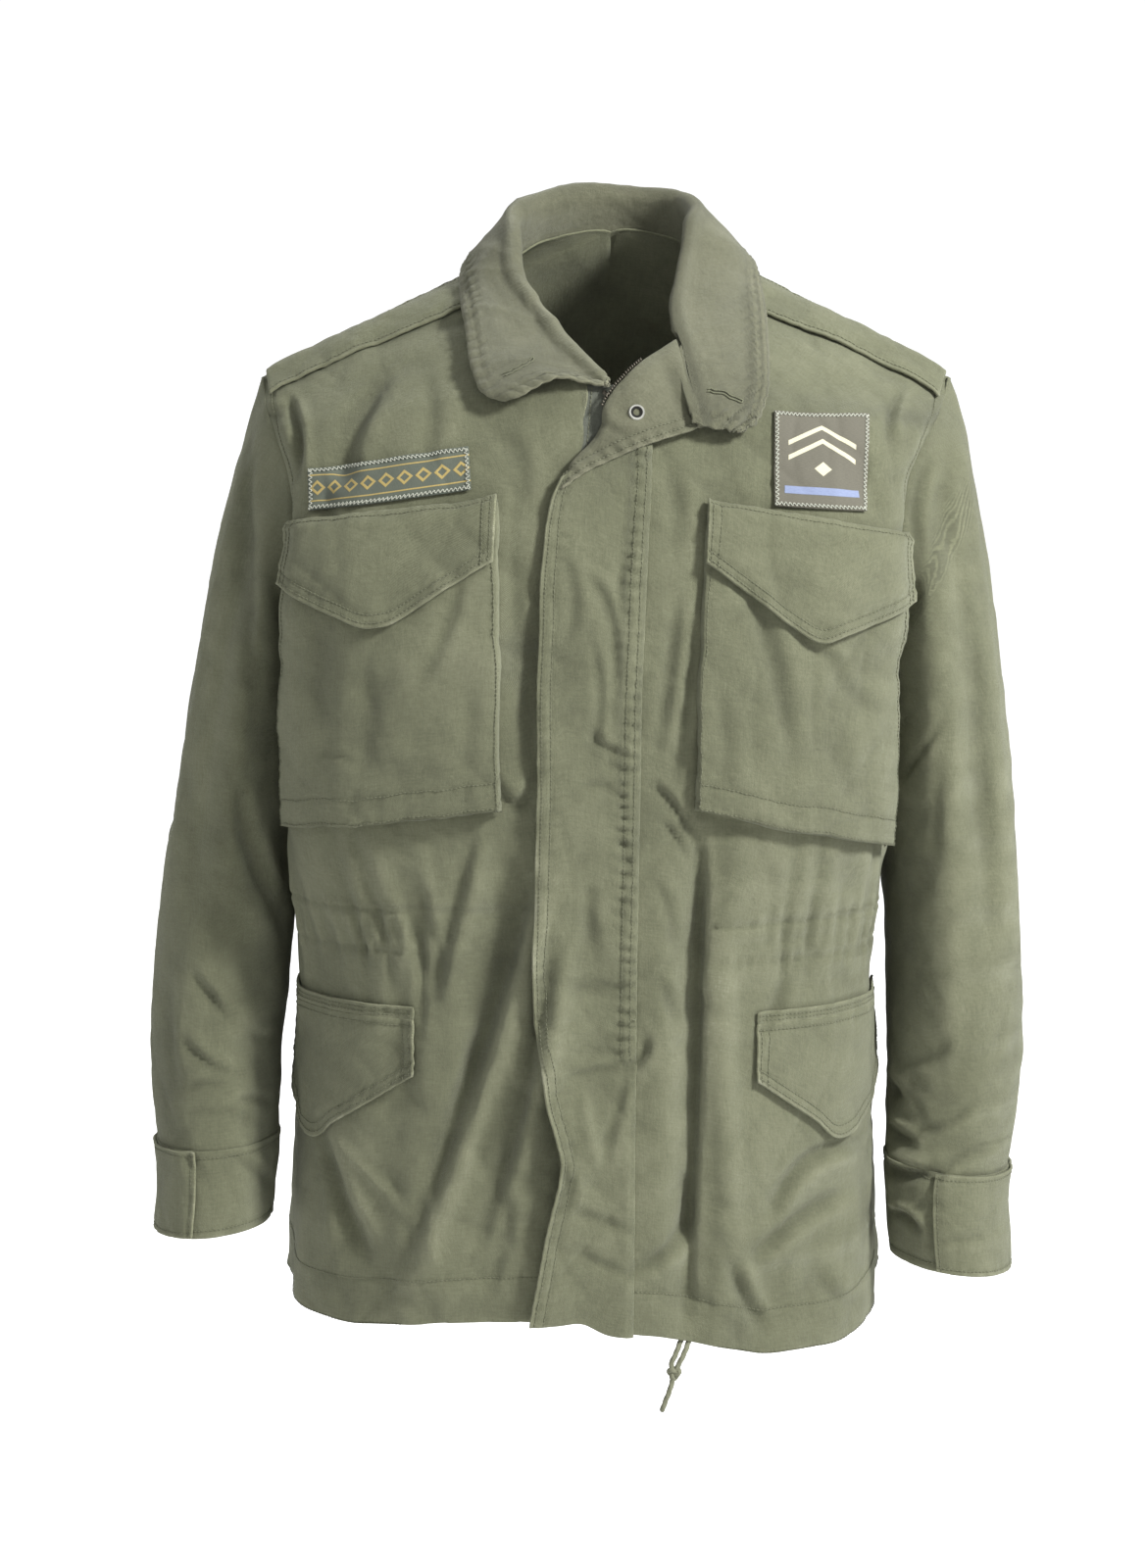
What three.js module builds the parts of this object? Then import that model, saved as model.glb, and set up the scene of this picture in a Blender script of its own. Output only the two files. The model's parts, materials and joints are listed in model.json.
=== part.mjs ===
// A worn cotton field jacket, hollow, as it hangs on shoulders with both arms down.
// Millimetres, +Z up, the front faces -Y, and +X is the wearer's left.
// The origin is inside the neck, level with the neck ends of the shoulder seams.
import * as THREE from "three";
import { mergeGeometries, mergeVertices } from "three/addons/utils/BufferGeometryUtils.js";

// Cloth and seam sizes
const CLOTH = 1.6;
const DOUBLED = 2.2;
const SEAM_GAP = 0.3;
const LAID_ON = 1;

// How far from the centre each front ends; the zip tape fills the gap between them.
const ZIP_EDGE = { "-1": 15, 1: 8 };

const ARM_SPREAD = 60;

// Turns short rows of numbers into rows with named columns.
const named = (names, rows) =>
  rows.map((row) => Object.fromEntries(names.map((name, i) => [name, row[i]])));

// One row for each level of a front panel, from hem to shoulder seam. c is the centre or neck
// edge, s the side or armhole edge, n how square the curve between them is, dent the hollow
// that the arm presses into the side and arm how far back that hollow lies.
const PANEL_COLUMNS = ["xc", "yc", "zc", "xs", "ys", "zs", "n", "dent", "arm"];
const FRONT = named(PANEL_COLUMNS, [
  [0, -150, -708, 219, -4, -708, 2.5, 12, -34],
  [0, -148, -630, 216, -2, -630, 2.5, 12, -28],
  [0, -145, -550, 211, 0, -550, 2.6, 9, -14],
  [0, -142, -470, 207, 2, -470, 2.7, 8, 0],
  [0, -143, -400, 218, 5, -400, 2.9, 21, 8],
  [0, -146, -330, 226, 8, -330, 3.0, 34, 12],
  [0, -146, -262, 227, 8, -262, 3.0, 37, 12],
  [0, -143, -226, 224, -45, -232, 2.8, 26, -10],
  [0, -137, -190, 220, -60, -192, 2.6, 16, -35],
  [0, -129, -155, 215, -62, -160, 2.3, 6, -50],
  [0, -120, -120, 213, -57, -131, 2.1, 0, -50],
  [0, -111, -88, 221, -47, -112, 1.9, 0, -50],
  [14, -102, -66, 227, -38, -101, 1.7, 0, -50],
  [42, -82, -49, 232, -28, -92, 1.5, 0, -50],
  [64, -48, -25, 236, -14, -81, 1.4, 0, -50],
  [78, 5, 0, 240, 3, -70, 1.3, 0, -50],
]);
const BACK = named(PANEL_COLUMNS, [
  [0, 140, -704, 219, -4, -708, 2.4, 12, -34],
  [0, 134, -628, 216, -2, -630, 2.4, 12, -28],
  [0, 126, -550, 211, 0, -550, 2.4, 9, -14],
  [0, 117, -470, 207, 2, -470, 2.4, 8, 0],
  [0, 119, -400, 218, 5, -400, 2.4, 21, 8],
  [0, 125, -330, 226, 8, -330, 2.4, 34, 12],
  [0, 130, -262, 227, 8, -262, 2.4, 37, 12],
  [0, 131, -224, 214, 52, -232, 2.2, 20, 22],
  [0, 131, -182, 212, 66, -192, 2.1, 6, 40],
  [0, 128, -138, 216, 64, -158, 2.0, 0, 50],
  [0, 121, -95, 225, 52, -129, 1.9, 0, 50],
  [0, 109, -50, 232, 38, -107, 1.8, 0, 50],
  [0, 91, -8, 236, 26, -92, 1.7, 0, 50],
  [0, 71, 26, 238, 16, -82, 1.6, 0, 50],
  [46, 58, 21, 239, 10, -76, 1.5, 0, 50],
  [69, 33, 11, 240, 6, -72, 1.4, 0, 50],
  [78, 5, 0, 240, 3, -70, 1.3, 0, 50],
]);
const ARMPIT = 6;
const BACK_NECK = 13;

// The hanging garment leans a little: how far its middle lies to one side at each height.
const LEAN = named(["z", "x"], [
  [-710, -12],
  [-470, -10],
  [-260, -7],
  [-120, 0],
  [-60, 5],
  [40, 8],
]);

// How far the hem of each front hangs below its row, by share of the way to the side seam.
const HEM_DROP = {
  "-1": named(["share", "drop"], [
    [0, -4],
    [0.3, 0],
    [0.58, 8],
    [0.8, 4],
    [1, 0],
  ]),
  1: named(["share", "drop"], [
    [0, 2],
    [0.2, 10],
    [0.42, 25],
    [0.62, 24],
    [0.82, 14],
    [1, 0],
  ]),
};

// The largest folds of each panel, as lines on the cloth: distance from the centre edge and
// height at both ends, half width, and rise (a trough has a negative one).
const FOLD_COLUMNS = ["d1", "z1", "d2", "z2", "wide", "rise"];
const FOLDS = {
  "front-1": named(FOLD_COLUMNS, [
    [52, -372, 78, -600, 15, -6],
    [78, -372, 120, -560, 15, 4],
    [96, -400, 150, -640, 13, -4],
    [20, -420, 44, -640, 13, 5],
    [150, -600, 205, -690, 16, 5],
    [176, -590, 150, -700, 13, -5],
    [110, -640, 96, -706, 16, 5],
    [170, -102, 196, -150, 9, -5],
  ]),
  front1: named(FOLD_COLUMNS, [
    [74, -360, 72, -705, 10, -10],
    [92, -380, 98, -690, 17, 6],
    [50, -400, 46, -690, 16, 6],
    [150, -640, 190, -700, 15, 5],
    [120, -700, 176, -640, 12, -5],
    [168, -98, 192, -142, 9, -5],
  ]),
  "back-1": named(FOLD_COLUMNS, [
    [140, -210, 150, -400, 18, -6],
    [100, -490, 120, -700, 20, 7],
    [160, -500, 190, -700, 16, -6],
    [40, -500, 52, -700, 18, -5],
  ]),
  back1: named(FOLD_COLUMNS, [
    [146, -200, 150, -410, 18, -6],
    [92, -480, 110, -700, 20, 6],
    [150, -510, 176, -700, 16, -6],
    [30, -520, 34, -700, 18, 5],
  ]),
};

// Each sleeve as rings from armhole to cuff: its outer and inner points seen from the front,
// how far back its middle lies and its half depth. Widths are from the garment's middle plane.
const RING_COLUMNS = ["xo", "zo", "xi", "zi", "y", "deep"];
const SLEEVES = {
  "-1": named(RING_COLUMNS, [
    [248, -112, 206, -268, 14, 70],
    [262, -165, 208, -275, 16, 74],
    [278, -233, 210, -290, 18, 76],
    [290, -303, 211, -318, 18, 75],
    [301, -368, 213, -370, 13, 73],
    [310, -430, 215, -430, 6, 71],
    [316, -490, 219, -488, -4, 67],
    [318, -540, 223, -536, -15, 62],
    [314, -590, 226, -584, -28, 57],
    [309, -628, 228, -622, -38, 53],
    [311, -665, 231, -656, -45, 51],
  ]),
  1: named(RING_COLUMNS, [
    [256, -112, 190, -268, 14, 70],
    [267, -170, 190, -275, 16, 74],
    [277, -233, 192, -290, 18, 76],
    [285, -303, 194, -320, 18, 75],
    [293, -378, 198, -378, 13, 73],
    [298, -445, 201, -445, 6, 71],
    [299, -505, 202, -503, -4, 67],
    [297, -558, 203, -552, -14, 62],
    [291, -608, 203, -600, -26, 57],
    [286, -650, 202, -640, -36, 53],
    [288, -694, 206, -682, -42, 51],
  ]),
};
const CUFF_RING = 9.35;
const LAST_RING = 11;
const ARMPIT_ROOM = 0.9;

// The largest folds of each sleeve: turn round it in degrees (0 outer side, 90 front,
// 180 inner side) and ring at both ends, half width in degrees and in rings, and rise.
const SLEEVE_FOLD_COLUMNS = ["a1", "r1", "a2", "r2", "wide", "long", "rise"];
const SLEEVE_FOLDS = {
  "-1": named(SLEEVE_FOLD_COLUMNS, [
    [58, 0.8, 62, 5.2, 13, 0.6, -5],
    [35, 1.2, 38, 5.6, 13, 0.6, 3.5],
    [92, 1.2, 96, 5.4, 14, 0.6, 3.5],
    [150, 5.6, 82, 6.3, 24, 0.22, -4],
    [140, 6.7, 75, 7.3, 22, 0.22, -4.5],
    [145, 7.9, 70, 8.5, 22, 0.2, -3.5],
    [210, 5.2, 300, 5.9, 24, 0.25, -4],
    [215, 6.4, 300, 7.0, 24, 0.25, -4],
  ]),
  1: named(SLEEVE_FOLD_COLUMNS, [
    [60, 0.8, 64, 5.0, 13, 0.6, -4.5],
    [38, 1.2, 42, 5.6, 13, 0.6, 3],
    [94, 1.2, 96, 4.6, 14, 0.6, 3.5],
    [160, 7.0, 112, 7.25, 22, 0.2, -6],
    [158, 7.75, 108, 8.0, 22, 0.2, -6.5],
    [156, 8.45, 104, 8.75, 22, 0.18, -5],
    [210, 5.2, 300, 5.9, 24, 0.25, -4],
    [215, 6.4, 300, 7.0, 24, 0.25, -4],
  ]),
};

// Chest pockets: distance of the inner and outer edges from the centre at top and bottom, and
// the heights of their top and bottom edges at those corners.
const CHEST_POCKET = {
  "-1": { inTop: 70, inLow: 60, outTop: 220, outLow: 226, zInTop: -141, zOutTop: -162,
    zInLow: -349, zOutLow: -371 },
  1: { inTop: 74, inLow: 73, outTop: 224, outLow: 227, zInTop: -143, zOutTop: -171,
    zInLow: -348, zOutLow: -385 },
};
const POCKET = { proudTop: 4.8, proudLow: 9.5, gusset: 1.4, rim: 2.4, thick: 1.5 };

// Flaps: how far they reach down at each share of their width.
const FLAP_COLUMNS = ["share", "deep"];
const CHEST_FLAP = { overlap: 5, lift: 1.2 };
const CHEST_FLAP_EDGE = {
  "-1": named(FLAP_COLUMNS, [[0, 40], [0.44, 70], [0.5, 72], [0.56, 69], [1, 38]]),
  1: named(FLAP_COLUMNS, [[0, 39], [0.4, 68], [0.5, 75], [0.6, 68], [1, 39]]),
};
const LOWER_POCKET = {
  "-1": { from: 119, z: -498, width: 166 },
  1: { from: 118, z: -501, width: 160 },
};
const LOWER_FLAP_EDGE = {
  "-1": named(FLAP_COLUMNS, [[0, 38], [0.42, 82], [0.5, 92], [0.6, 88], [1, 48]]),
  1: named(FLAP_COLUMNS, [[0, 39], [0.34, 76], [0.42, 88], [0.52, 82], [1, 42]]),
};
const WELT = { tall: 8.5, thick: 1.8 };

// Storm flap: its free edge and how far that lifts off, at each height.
const FLY = named(["z", "edge", "lift"], [
  [-703, -36, 4],
  [-640, -24, 8],
  [-596, -16, 13],
  [-545, -27, 10],
  [-470, -33, 6],
  [-399, -34, 4],
  [-330, -34, 3],
  [-263, -35, 3],
  [-232, -35, 3],
  [-200, -36, 3],
  [-174, -35, 3],
  [-150, -33, 2],
]);
const FLY_HEM = { stitched: 34, thick: 2, rise: 34 };

// Turned-back top of the storm flap: the rolled side and the free side of each station.
const EDGE_COLUMNS = ["x", "y", "z"];
const LAPEL_ROLL = named(EDGE_COLUMNS, [
  [-29, -129.5, -133],
  [-20, -126, -117],
  [-2, -120, -95],
  [5, -116, -74],
  [22, -107, -55],
  [51, -80, -37],
]);
const LAPEL_FREE = named(EDGE_COLUMNS, [
  [-26, -132.5, -131.5],
  [-12.5, -131, -122],
  [10.5, -128, -111],
  [33, -124.5, -102],
  [56, -120, -95],
  [66, -117, -91],
]);

// Seam between the collar and the turned-back flap, from its rolled to its free end.
const GORGE = named(EDGE_COLUMNS, [
  [51, -80, -37],
  [55.5, -96, -56],
  [60.5, -108, -74],
  [66, -117, -91],
]);

// Collar stations from the wearer's left front end round the back to the right one: base,
// roll and edge of the folded sheet, and how far the fall bows up in its middle.
const COLLAR_COLUMNS = ["bx", "by", "bz", "rx", "ry", "rz", "ex", "ey", "ez", "bow"];
const COLLAR = named(COLLAR_COLUMNS, [
  [66, -117, -91, 66, -117, -91, 95, -115, -101, 2],
  [60.5, -108, -74, 60.5, -108, -74, 109, -107, -93, 2],
  [55.5, -96, -56, 55.5, -96, -56, 113.5, -95, -75, 2],
  [51, -80, -37, 51, -80, -37, 114, -76, -57, 3],
  [58, -66, -34, 48, -62, -20, 113.5, -50, -36, 4],
  [70, -48, -22, 53, -45, -9, 112.5, -28, -22, 4],
  [78, -24, -9, 59, -26, 7, 111, -8, -8, 4],
  [85, 5, 3.5, 64, 2, 38, 109, 12, 2, 4],
  [77, 34, 15, 67, 28, 47, 102, 45, 6, 3],
  [54, 58, 25, 55, 56, 54, 75, 78, -7, 0],
  [30, 70, 29, 31, 71, 56, 40, 94, -9, 0],
  [7, 74, 30, 5, 76, 57, 5, 98, -8, 0],
  [-17, 70, 29, -22, 71, 56, -31, 94, -9, 0],
  [-41, 58, 25, -46, 56, 51, -64, 80, -9, 0],
  [-64, 34, 15, -62, 30, 43, -90, 46, 4, 3],
  [-72, 5, 3.5, -62, 2, 29, -97, 12, -2, 4],
  [-65, -24, -9, -60, -20, 6, -96, -14, -13, 4],
  [-56, -50, -23, -43, -49, -16, -92, -47, -29, 4],
  [-36.5, -80, -45, -22, -79, -40, -86, -86, -58, 5],
  [-11, -101, -62, -2, -101, -57, -75, -104, -74, 8],
  [3, -107, -65, 5, -107.5, -64, -64, -109.5, -78.5, 11],
]);
const COLLAR_THICK = 2.4;
const COLLAR_ROLL = 5;

const SHOULDER_LOOP = { from: 0.13, to: 0.965, half: 23, arch: 3.5, thick: 2.4 };
const CUFF_TAB = { start: -60, end: { "-1": 72, 1: 105 }, thick: 2 };

// Corners of the patches as seen from the front: top inner, top outer, low outer, low inner.
const NAME_TAPE = named(["x", "z"], [[-89.4, -107.4], [-197, -125.7], [-196.6, -153], [-88, -134.6]]);
const BADGE = named(["x", "z"], [[117.2, -85], [181.7, -90], [178.6, -152], [116.7, -146]]);
const PATCH_THICK = 1.2;
const PATCH_PROUD = 1.6;

// Hem drawcord: the strand that loops out of the hem, the knot and the free end.
const HEM_CORD = {
  thick: 3.8,
  loop: [[48.4, -147, -737.6], [51, -145, -730], [55, -140, -723], [58.5, -134, -714],
    [61, -131, -706], [65.5, -131, -706], [63.5, -134, -714], [60.5, -140, -723.5],
    [57, -145.5, -731], [53.4, -147, -737.8]],
  knot: { at: [50.7, -147.5, -743.2], size: [5.6, 4.8, 5] },
  end: [[49.6, -148, -748.4], [47.5, -150, -755], [44, -150.5, -762], [42, -151, -770]],
};

// Catmull-Rom blend of the rows of a table, at a row number that may lie between two rows.
// The side seam turns a corner into the armhole, so its columns don't blend across that row.
const SIDE_COLUMNS = ["xs", "ys", "zs", "dent", "arm"];
function rowAt(table, t) {
  const i = Math.min(table.length - 2, Math.max(0, Math.floor(t)));
  const f = t - i;
  const row = {};
  for (const name of Object.keys(table[0])) {
    const turns = SIDE_COLUMNS.includes(name);
    const low = turns && i >= ARMPIT ? ARMPIT : 0;
    const high = turns && i < ARMPIT ? ARMPIT : table.length - 1;
    const [a, b, c, d] = [-1, 0, 1, 2].map((k) => table[Math.min(high, Math.max(low, i + k))][name]);
    row[name] =
      b + 0.5 * f * (c - a + f * (2 * a - 5 * b + 4 * c - d + f * (3 * (b - c) + d - a)));
  }
  return row;
}

// The row number at which a rising column of a table has a value.
function rowOf(table, name, value) {
  let low = 0;
  let high = table.length - 1;
  for (let i = 0; i < 40; i += 1) {
    const middle = (low + high) / 2;
    if (rowAt(table, middle)[name] < value) low = middle;
    else high = middle;
  }
  return (low + high) / 2;
}

// A table read by its first column, with straight lines between the rows.
function readAt(table, key, value) {
  let i = 0;
  while (i < table.length - 2 && table[i + 1][key] < value) i += 1;
  const [a, b] = [table[i], table[i + 1]];
  const f = Math.min(1, Math.max(0, (value - a[key]) / (b[key] - a[key])));
  const row = {};
  for (const name of Object.keys(a)) row[name] = a[name] + (b[name] - a[name]) * f;
  return row;
}

const smooth = (x) => {
  const f = Math.min(1, Math.max(0, x));
  return f * f * (3 - 2 * f);
};

// Sum of soft ridges and troughs, each a bell curve of the distance from its line.
function foldRise(folds, d, z) {
  let rise = 0;
  for (const fold of folds) {
    const along = [fold.d2 - fold.d1, fold.z2 - fold.z1];
    const size = along[0] ** 2 + along[1] ** 2;
    const from = [d - fold.d1, z - fold.z1];
    const share = Math.min(1, Math.max(0, (from[0] * along[0] + from[1] * along[1]) / size));
    const off = Math.hypot(from[0] - share * along[0], from[1] - share * along[1]);
    const taper = 1 - 0.6 * (2 * share - 1) ** 4;
    rise += fold.rise * taper * Math.exp(-((off / fold.wide) ** 2));
  }
  return rise;
}

// One row of a panel as a curve from its centre edge to its side edge, with its length.
const SECTION_STEPS = 48;
function makeSection(row) {
  const curve = (s) => {
    const angle = (s * Math.PI) / 2;
    const across = Math.sin(angle) ** (2 / row.n);
    const depth = Math.max(0, Math.cos(angle)) ** (2 / row.n);
    const y = row.ys + (row.yc - row.ys) * depth;
    const press = Math.exp(-(((y - row.arm) / ARM_SPREAD) ** 2)) * across ** 4;
    const x = row.xc + (row.xs - row.xc) * across - row.dent * press;
    return new THREE.Vector3(x, y, row.zc + (row.zs - row.zc) * across);
  };
  const lengths = [0];
  let last = curve(0);
  for (let i = 1; i <= SECTION_STEPS; i += 1) {
    const next = curve(i / SECTION_STEPS);
    lengths.push(lengths[i - 1] + next.distanceTo(last));
    last = next;
  }
  const length = lengths[SECTION_STEPS];
  const at = (share) => {
    const d = Math.min(1, Math.max(0, share)) * length;
    let i = 0;
    while (i < SECTION_STEPS - 1 && lengths[i + 1] < d) i += 1;
    const part = (d - lengths[i]) / (lengths[i + 1] - lengths[i]);
    return curve((i + part) / SECTION_STEPS);
  };
  return { at, length, zc: row.zc };
}

// A panel of the body: its cloth point and outward direction at a share of the row's length
// from the centre edge and a row number. side is -1 for the wearer's right and 1 for the left.
function makePanel(name, table, side, outward) {
  const sections = new Map();
  const section = (t) => {
    const key = Math.round(t * 1e5);
    if (!sections.has(key)) sections.set(key, makeSection(rowAt(table, t)));
    return sections.get(key);
  };
  const bare = (share, t) => {
    const p = section(t).at(share);
    return new THREE.Vector3(side * p.x + readAt(LEAN, "z", p.z).x, p.y, p.z);
  };
  const facing = (point, share, t) => {
    const [s0, s1] = [Math.max(0, share - 0.01), Math.min(1, share + 0.01)];
    const [t0, t1] = [Math.max(0, t - 0.04), Math.min(table.length - 1, t + 0.04)];
    const across = point(s1, t).sub(point(s0, t));
    const up = point(share, t1).sub(point(share, t0));
    return across.cross(up).multiplyScalar(side * outward).normalize();
  };
  const folds = FOLDS[name];
  const hem = outward > 0 ? HEM_DROP[side] : null;
  const point = (share, t) => {
    const p = bare(share, t);
    const row = section(t);
    const d = share * row.length;
    const rise = foldRise(folds, d, row.zc);
    p.addScaledVector(facing(bare, share, t), rise);
    if (hem) p.z -= readAt(hem, "share", share).drop * smooth(1 - t / 1.6);
    return p;
  };
  return {
    side,
    table,
    point,
    facing: (share, t) => facing(point, share, t),
    length: (t) => section(t).length,
    rowOfHeight: (z) => rowOf(table, "zc", z),
  };
}

// Outward directions of a grid of points, square to the bisector of the steps on both sides.
// Rows run up and columns run to the right as seen from the side that the directions face.
function facings(grid, round) {
  const rows = grid.length;
  const columns = grid[0].length;
  const step = (from, to) => to.clone().sub(from).normalize();
  return grid.map((line, i) =>
    line.map((p, j) => {
      const across = new THREE.Vector3();
      const up = new THREE.Vector3();
      if (round || j > 0) across.add(step(line[(j + columns - 1) % columns], p));
      if (round || j < columns - 1) across.add(step(p, line[(j + 1) % columns]));
      if (i > 0) up.add(step(grid[i - 1][j], p));
      if (i < rows - 1) up.add(step(p, grid[i + 1][j]));
      return across.cross(up).normalize();
    }),
  );
}

// Moves the edge points of a grid towards their inner neighbours by half a seam gap.
function trim(grid, edges) {
  const last = grid.length - 1;
  const end = grid[0].length - 1;
  const pull = (p, q) => p.clone().lerp(q, Math.min(0.4, SEAM_GAP / 2 / p.distanceTo(q)));
  const cut = grid.map((line) => line.map((p) => p.clone()));
  for (let j = 0; j <= end; j += 1) {
    if (edges.includes("bottom")) cut[0][j] = pull(cut[0][j], cut[1][j]);
    if (edges.includes("top")) cut[last][j] = pull(cut[last][j], cut[last - 1][j]);
  }
  for (let i = 0; i <= last; i += 1) {
    if (edges.includes("start")) cut[i][0] = pull(cut[i][0], cut[i][1]);
    if (edges.includes("end")) cut[i][end] = pull(cut[i][end], cut[i][end - 1]);
  }
  return cut;
}

// A closed cloth wall between an outer grid and an inner one. Where the first rows of an edge
// are shared with another wall, that stretch has no cap.
function shellGeometry(outer, inner, { round = false, sharedStart = 0, sharedEnd = 0 } = {}) {
  const rows = outer.length;
  const columns = outer[0].length;
  const positions = [];
  [...outer, ...inner].forEach((line) => line.forEach((p) => positions.push(p.x, p.y, p.z)));
  const at = (layer, i, j) => layer * rows * columns + i * columns + (j % columns);
  const faces = [];
  const quad = (a, b, c, d) => faces.push(a, b, c, a, c, d);
  const across = round ? columns : columns - 1;
  for (let i = 0; i < rows - 1; i += 1) {
    for (let j = 0; j < across; j += 1) {
      quad(at(0, i, j), at(0, i, j + 1), at(0, i + 1, j + 1), at(0, i + 1, j));
      quad(at(1, i, j), at(1, i + 1, j), at(1, i + 1, j + 1), at(1, i, j + 1));
    }
  }
  for (let j = 0; j < across; j += 1) {
    quad(at(1, 0, j), at(1, 0, j + 1), at(0, 0, j + 1), at(0, 0, j));
    quad(at(0, rows - 1, j), at(0, rows - 1, j + 1), at(1, rows - 1, j + 1), at(1, rows - 1, j));
  }
  const end = columns - 1;
  for (let i = round ? rows : sharedStart; i < rows - 1; i += 1) {
    quad(at(0, i, 0), at(0, i + 1, 0), at(1, i + 1, 0), at(1, i, 0));
  }
  for (let i = round ? rows : sharedEnd; i < rows - 1; i += 1) {
    quad(at(0, i, end), at(1, i, end), at(1, i + 1, end), at(0, i + 1, end));
  }
  const geometry = new THREE.BufferGeometry();
  geometry.setAttribute("position", new THREE.Float32BufferAttribute(positions, 3));
  geometry.setIndex(faces);
  geometry.computeVertexNormals();
  return geometry;
}

// A wall of one thickness, its outer side and outward directions given.
function wallGeometry(outer, out, thick, options) {
  const inner = outer.map((line, i) =>
    line.map((p, j) => p.clone().addScaledVector(out[i][j], -thick)));
  return shellGeometry(outer, inner, options);
}

// Finishes
const finish = (color, roughness, metalness = 0) =>
  new THREE.MeshStandardMaterial({ color, roughness, metalness });
const OLIVE = finish(0x6a6f52, 0.92);
const OLIVE_WORN = finish(0x757a5c, 0.92);
const TAPE = finish(0x4a5046, 0.9);
const PATCH = finish(0x55524a, 0.9);
const CORD = finish(0x70745a, 0.9);
const METAL = finish(0x2d2c2a, 0.45, 0.8);

const jacket = new THREE.Group();
function addPiece(name, geometry, material) {
  const mesh = new THREE.Mesh(geometry, material);
  mesh.name = name;
  jacket.add(mesh);
  return mesh;
}

// Body panels
const panels = {};
for (const side of [-1, 1]) {
  panels[`front${side}`] = makePanel(`front${side}`, FRONT, side, 1);
  panels[`back${side}`] = makePanel(`back${side}`, BACK, side, -1);
}

const LOWER_HEIGHTS = [-690, -650, -600, -550, -506, -478, -452, -426, -396, -350, -306];
const UPPER_ROWS = [0, 0.5, 1, 1.5, 2, 2.5, 3, 3.5, 4, 5, 6, 7, 8, 9];
const lowerRows = (table) => [0, ...LOWER_HEIGHTS.map((z) => rowOf(table, "zc", z))];
const frontRows = [...lowerRows(FRONT), ...UPPER_ROWS.map((t) => t + ARMPIT)];
const backRows = [
  ...lowerRows(FRONT),
  ...[0, 0.5, 1, 1.5, 2, 2.5, 3, 3.5, 4, 5, 6, 7, 8, 9, 10].map((t) => t + ARMPIT),
];
const evenly = (count) => Array.from({ length: count + 1 }, (_, i) => i / count);
const shares = evenly(16);

// The points of a panel, its centre edge cut back to a given distance from the middle plane.
const gridOf = (panel, rows, shares, centre) =>
  rows.map((t) => {
    const start = Math.max(0, centre - rowAt(panel.table, t).xc) / panel.length(t);
    return shares.map((f) => panel.point(Math.max(f, start), t));
  });

// The point of a sleeve on one ring of its table: 0 degrees is its outer side, 90 its front.
function ringPoint(side, ring, degrees) {
  const row = SLEEVES[side][ring];
  const turn = THREE.MathUtils.degToRad(degrees);
  const middle = [(row.xo + row.xi) / 2, (row.zo + row.zi) / 2];
  const half = [(row.xo - row.xi) / 2, (row.zo - row.zi) / 2];
  return new THREE.Vector3(
    side * (middle[0] + half[0] * Math.cos(turn)),
    row.y - row.deep * Math.sin(turn),
    middle[1] + half[1] * Math.cos(turn),
  );
}

// A sleeve as lines of points that run from the armhole to the cuff. Ring 0 is the armhole
// edge of the two panels, and the rings of the table follow it.
function makeSleeve(side) {
  const [front, back] = [panels[`front${side}`], panels[`back${side}`]];
  const upper = (rows) => rows.filter((t) => t >= ARMPIT);
  const edge = [
    ...upper(frontRows).reverse().map((t) => front.point(1, t)),
    ...upper(backRows).slice(1, -1).map((t) => back.point(1, t)),
  ];
  const pit = upper(frontRows).length - 1;
  const steps = edge.map((p, i) => p.distanceTo(edge[(i + 1) % edge.length]));
  const share = (from, to, i) => {
    const sum = (a, b) => steps.slice(a, b).reduce((total, step) => total + step, 0);
    return sum(from, i) / sum(from, to);
  };
  const degrees = edge.map((_, i) =>
    i <= pit ? 180 * share(0, pit, i) : 180 + 180 * share(pit, edge.length, i));
  const bare = (j, ring) => {
    const i = Math.min(LAST_RING - 1, Math.max(0, Math.floor(ring)));
    const f = ring - i;
    const [a, b, c, d] = [i - 1, i, i + 1, i + 2].map((k) => {
      const at = Math.min(LAST_RING, Math.max(0, k));
      return at === 0 ? edge[j] : ringPoint(side, at - 1, degrees[j]);
    });
    const blend = (p, q, r, s) =>
      q + 0.5 * f * (r - p + f * (2 * p - 5 * q + 4 * r - s + f * (3 * (q - r) + s - p)));
    const room = ARMPIT_ROOM * Math.exp(-(((degrees[j] - 180) / 45) ** 2)) * smooth(1 - ring / 2);
    return new THREE.Vector3(
      blend(a.x, b.x, c.x, d.x) + side * room,
      blend(a.y, b.y, c.y, d.y),
      blend(a.z, b.z, c.z, d.z),
    );
  };
  const creased = (j, ring) => {
    let rise = 0;
    for (const fold of SLEEVE_FOLDS[side]) {
      const along = [fold.a2 - fold.a1, fold.r2 - fold.r1];
      const scale = [1 / fold.wide, 1 / fold.long];
      const v = [along[0] * scale[0], along[1] * scale[1]];
      const from = [(degrees[j] - fold.a1) * scale[0], (ring - fold.r1) * scale[1]];
      const part = (from[0] * v[0] + from[1] * v[1]) / (v[0] ** 2 + v[1] ** 2);
      const share = Math.min(1, Math.max(0, part));
      const off = Math.hypot(from[0] - share * v[0], from[1] - share * v[1]);
      rise += fold.rise * Math.exp(-(off ** 2));
    }
    return rise * smooth(ring / 0.8);
  };
  return { side, edge, pit, degrees, bare, creased };
}

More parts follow.
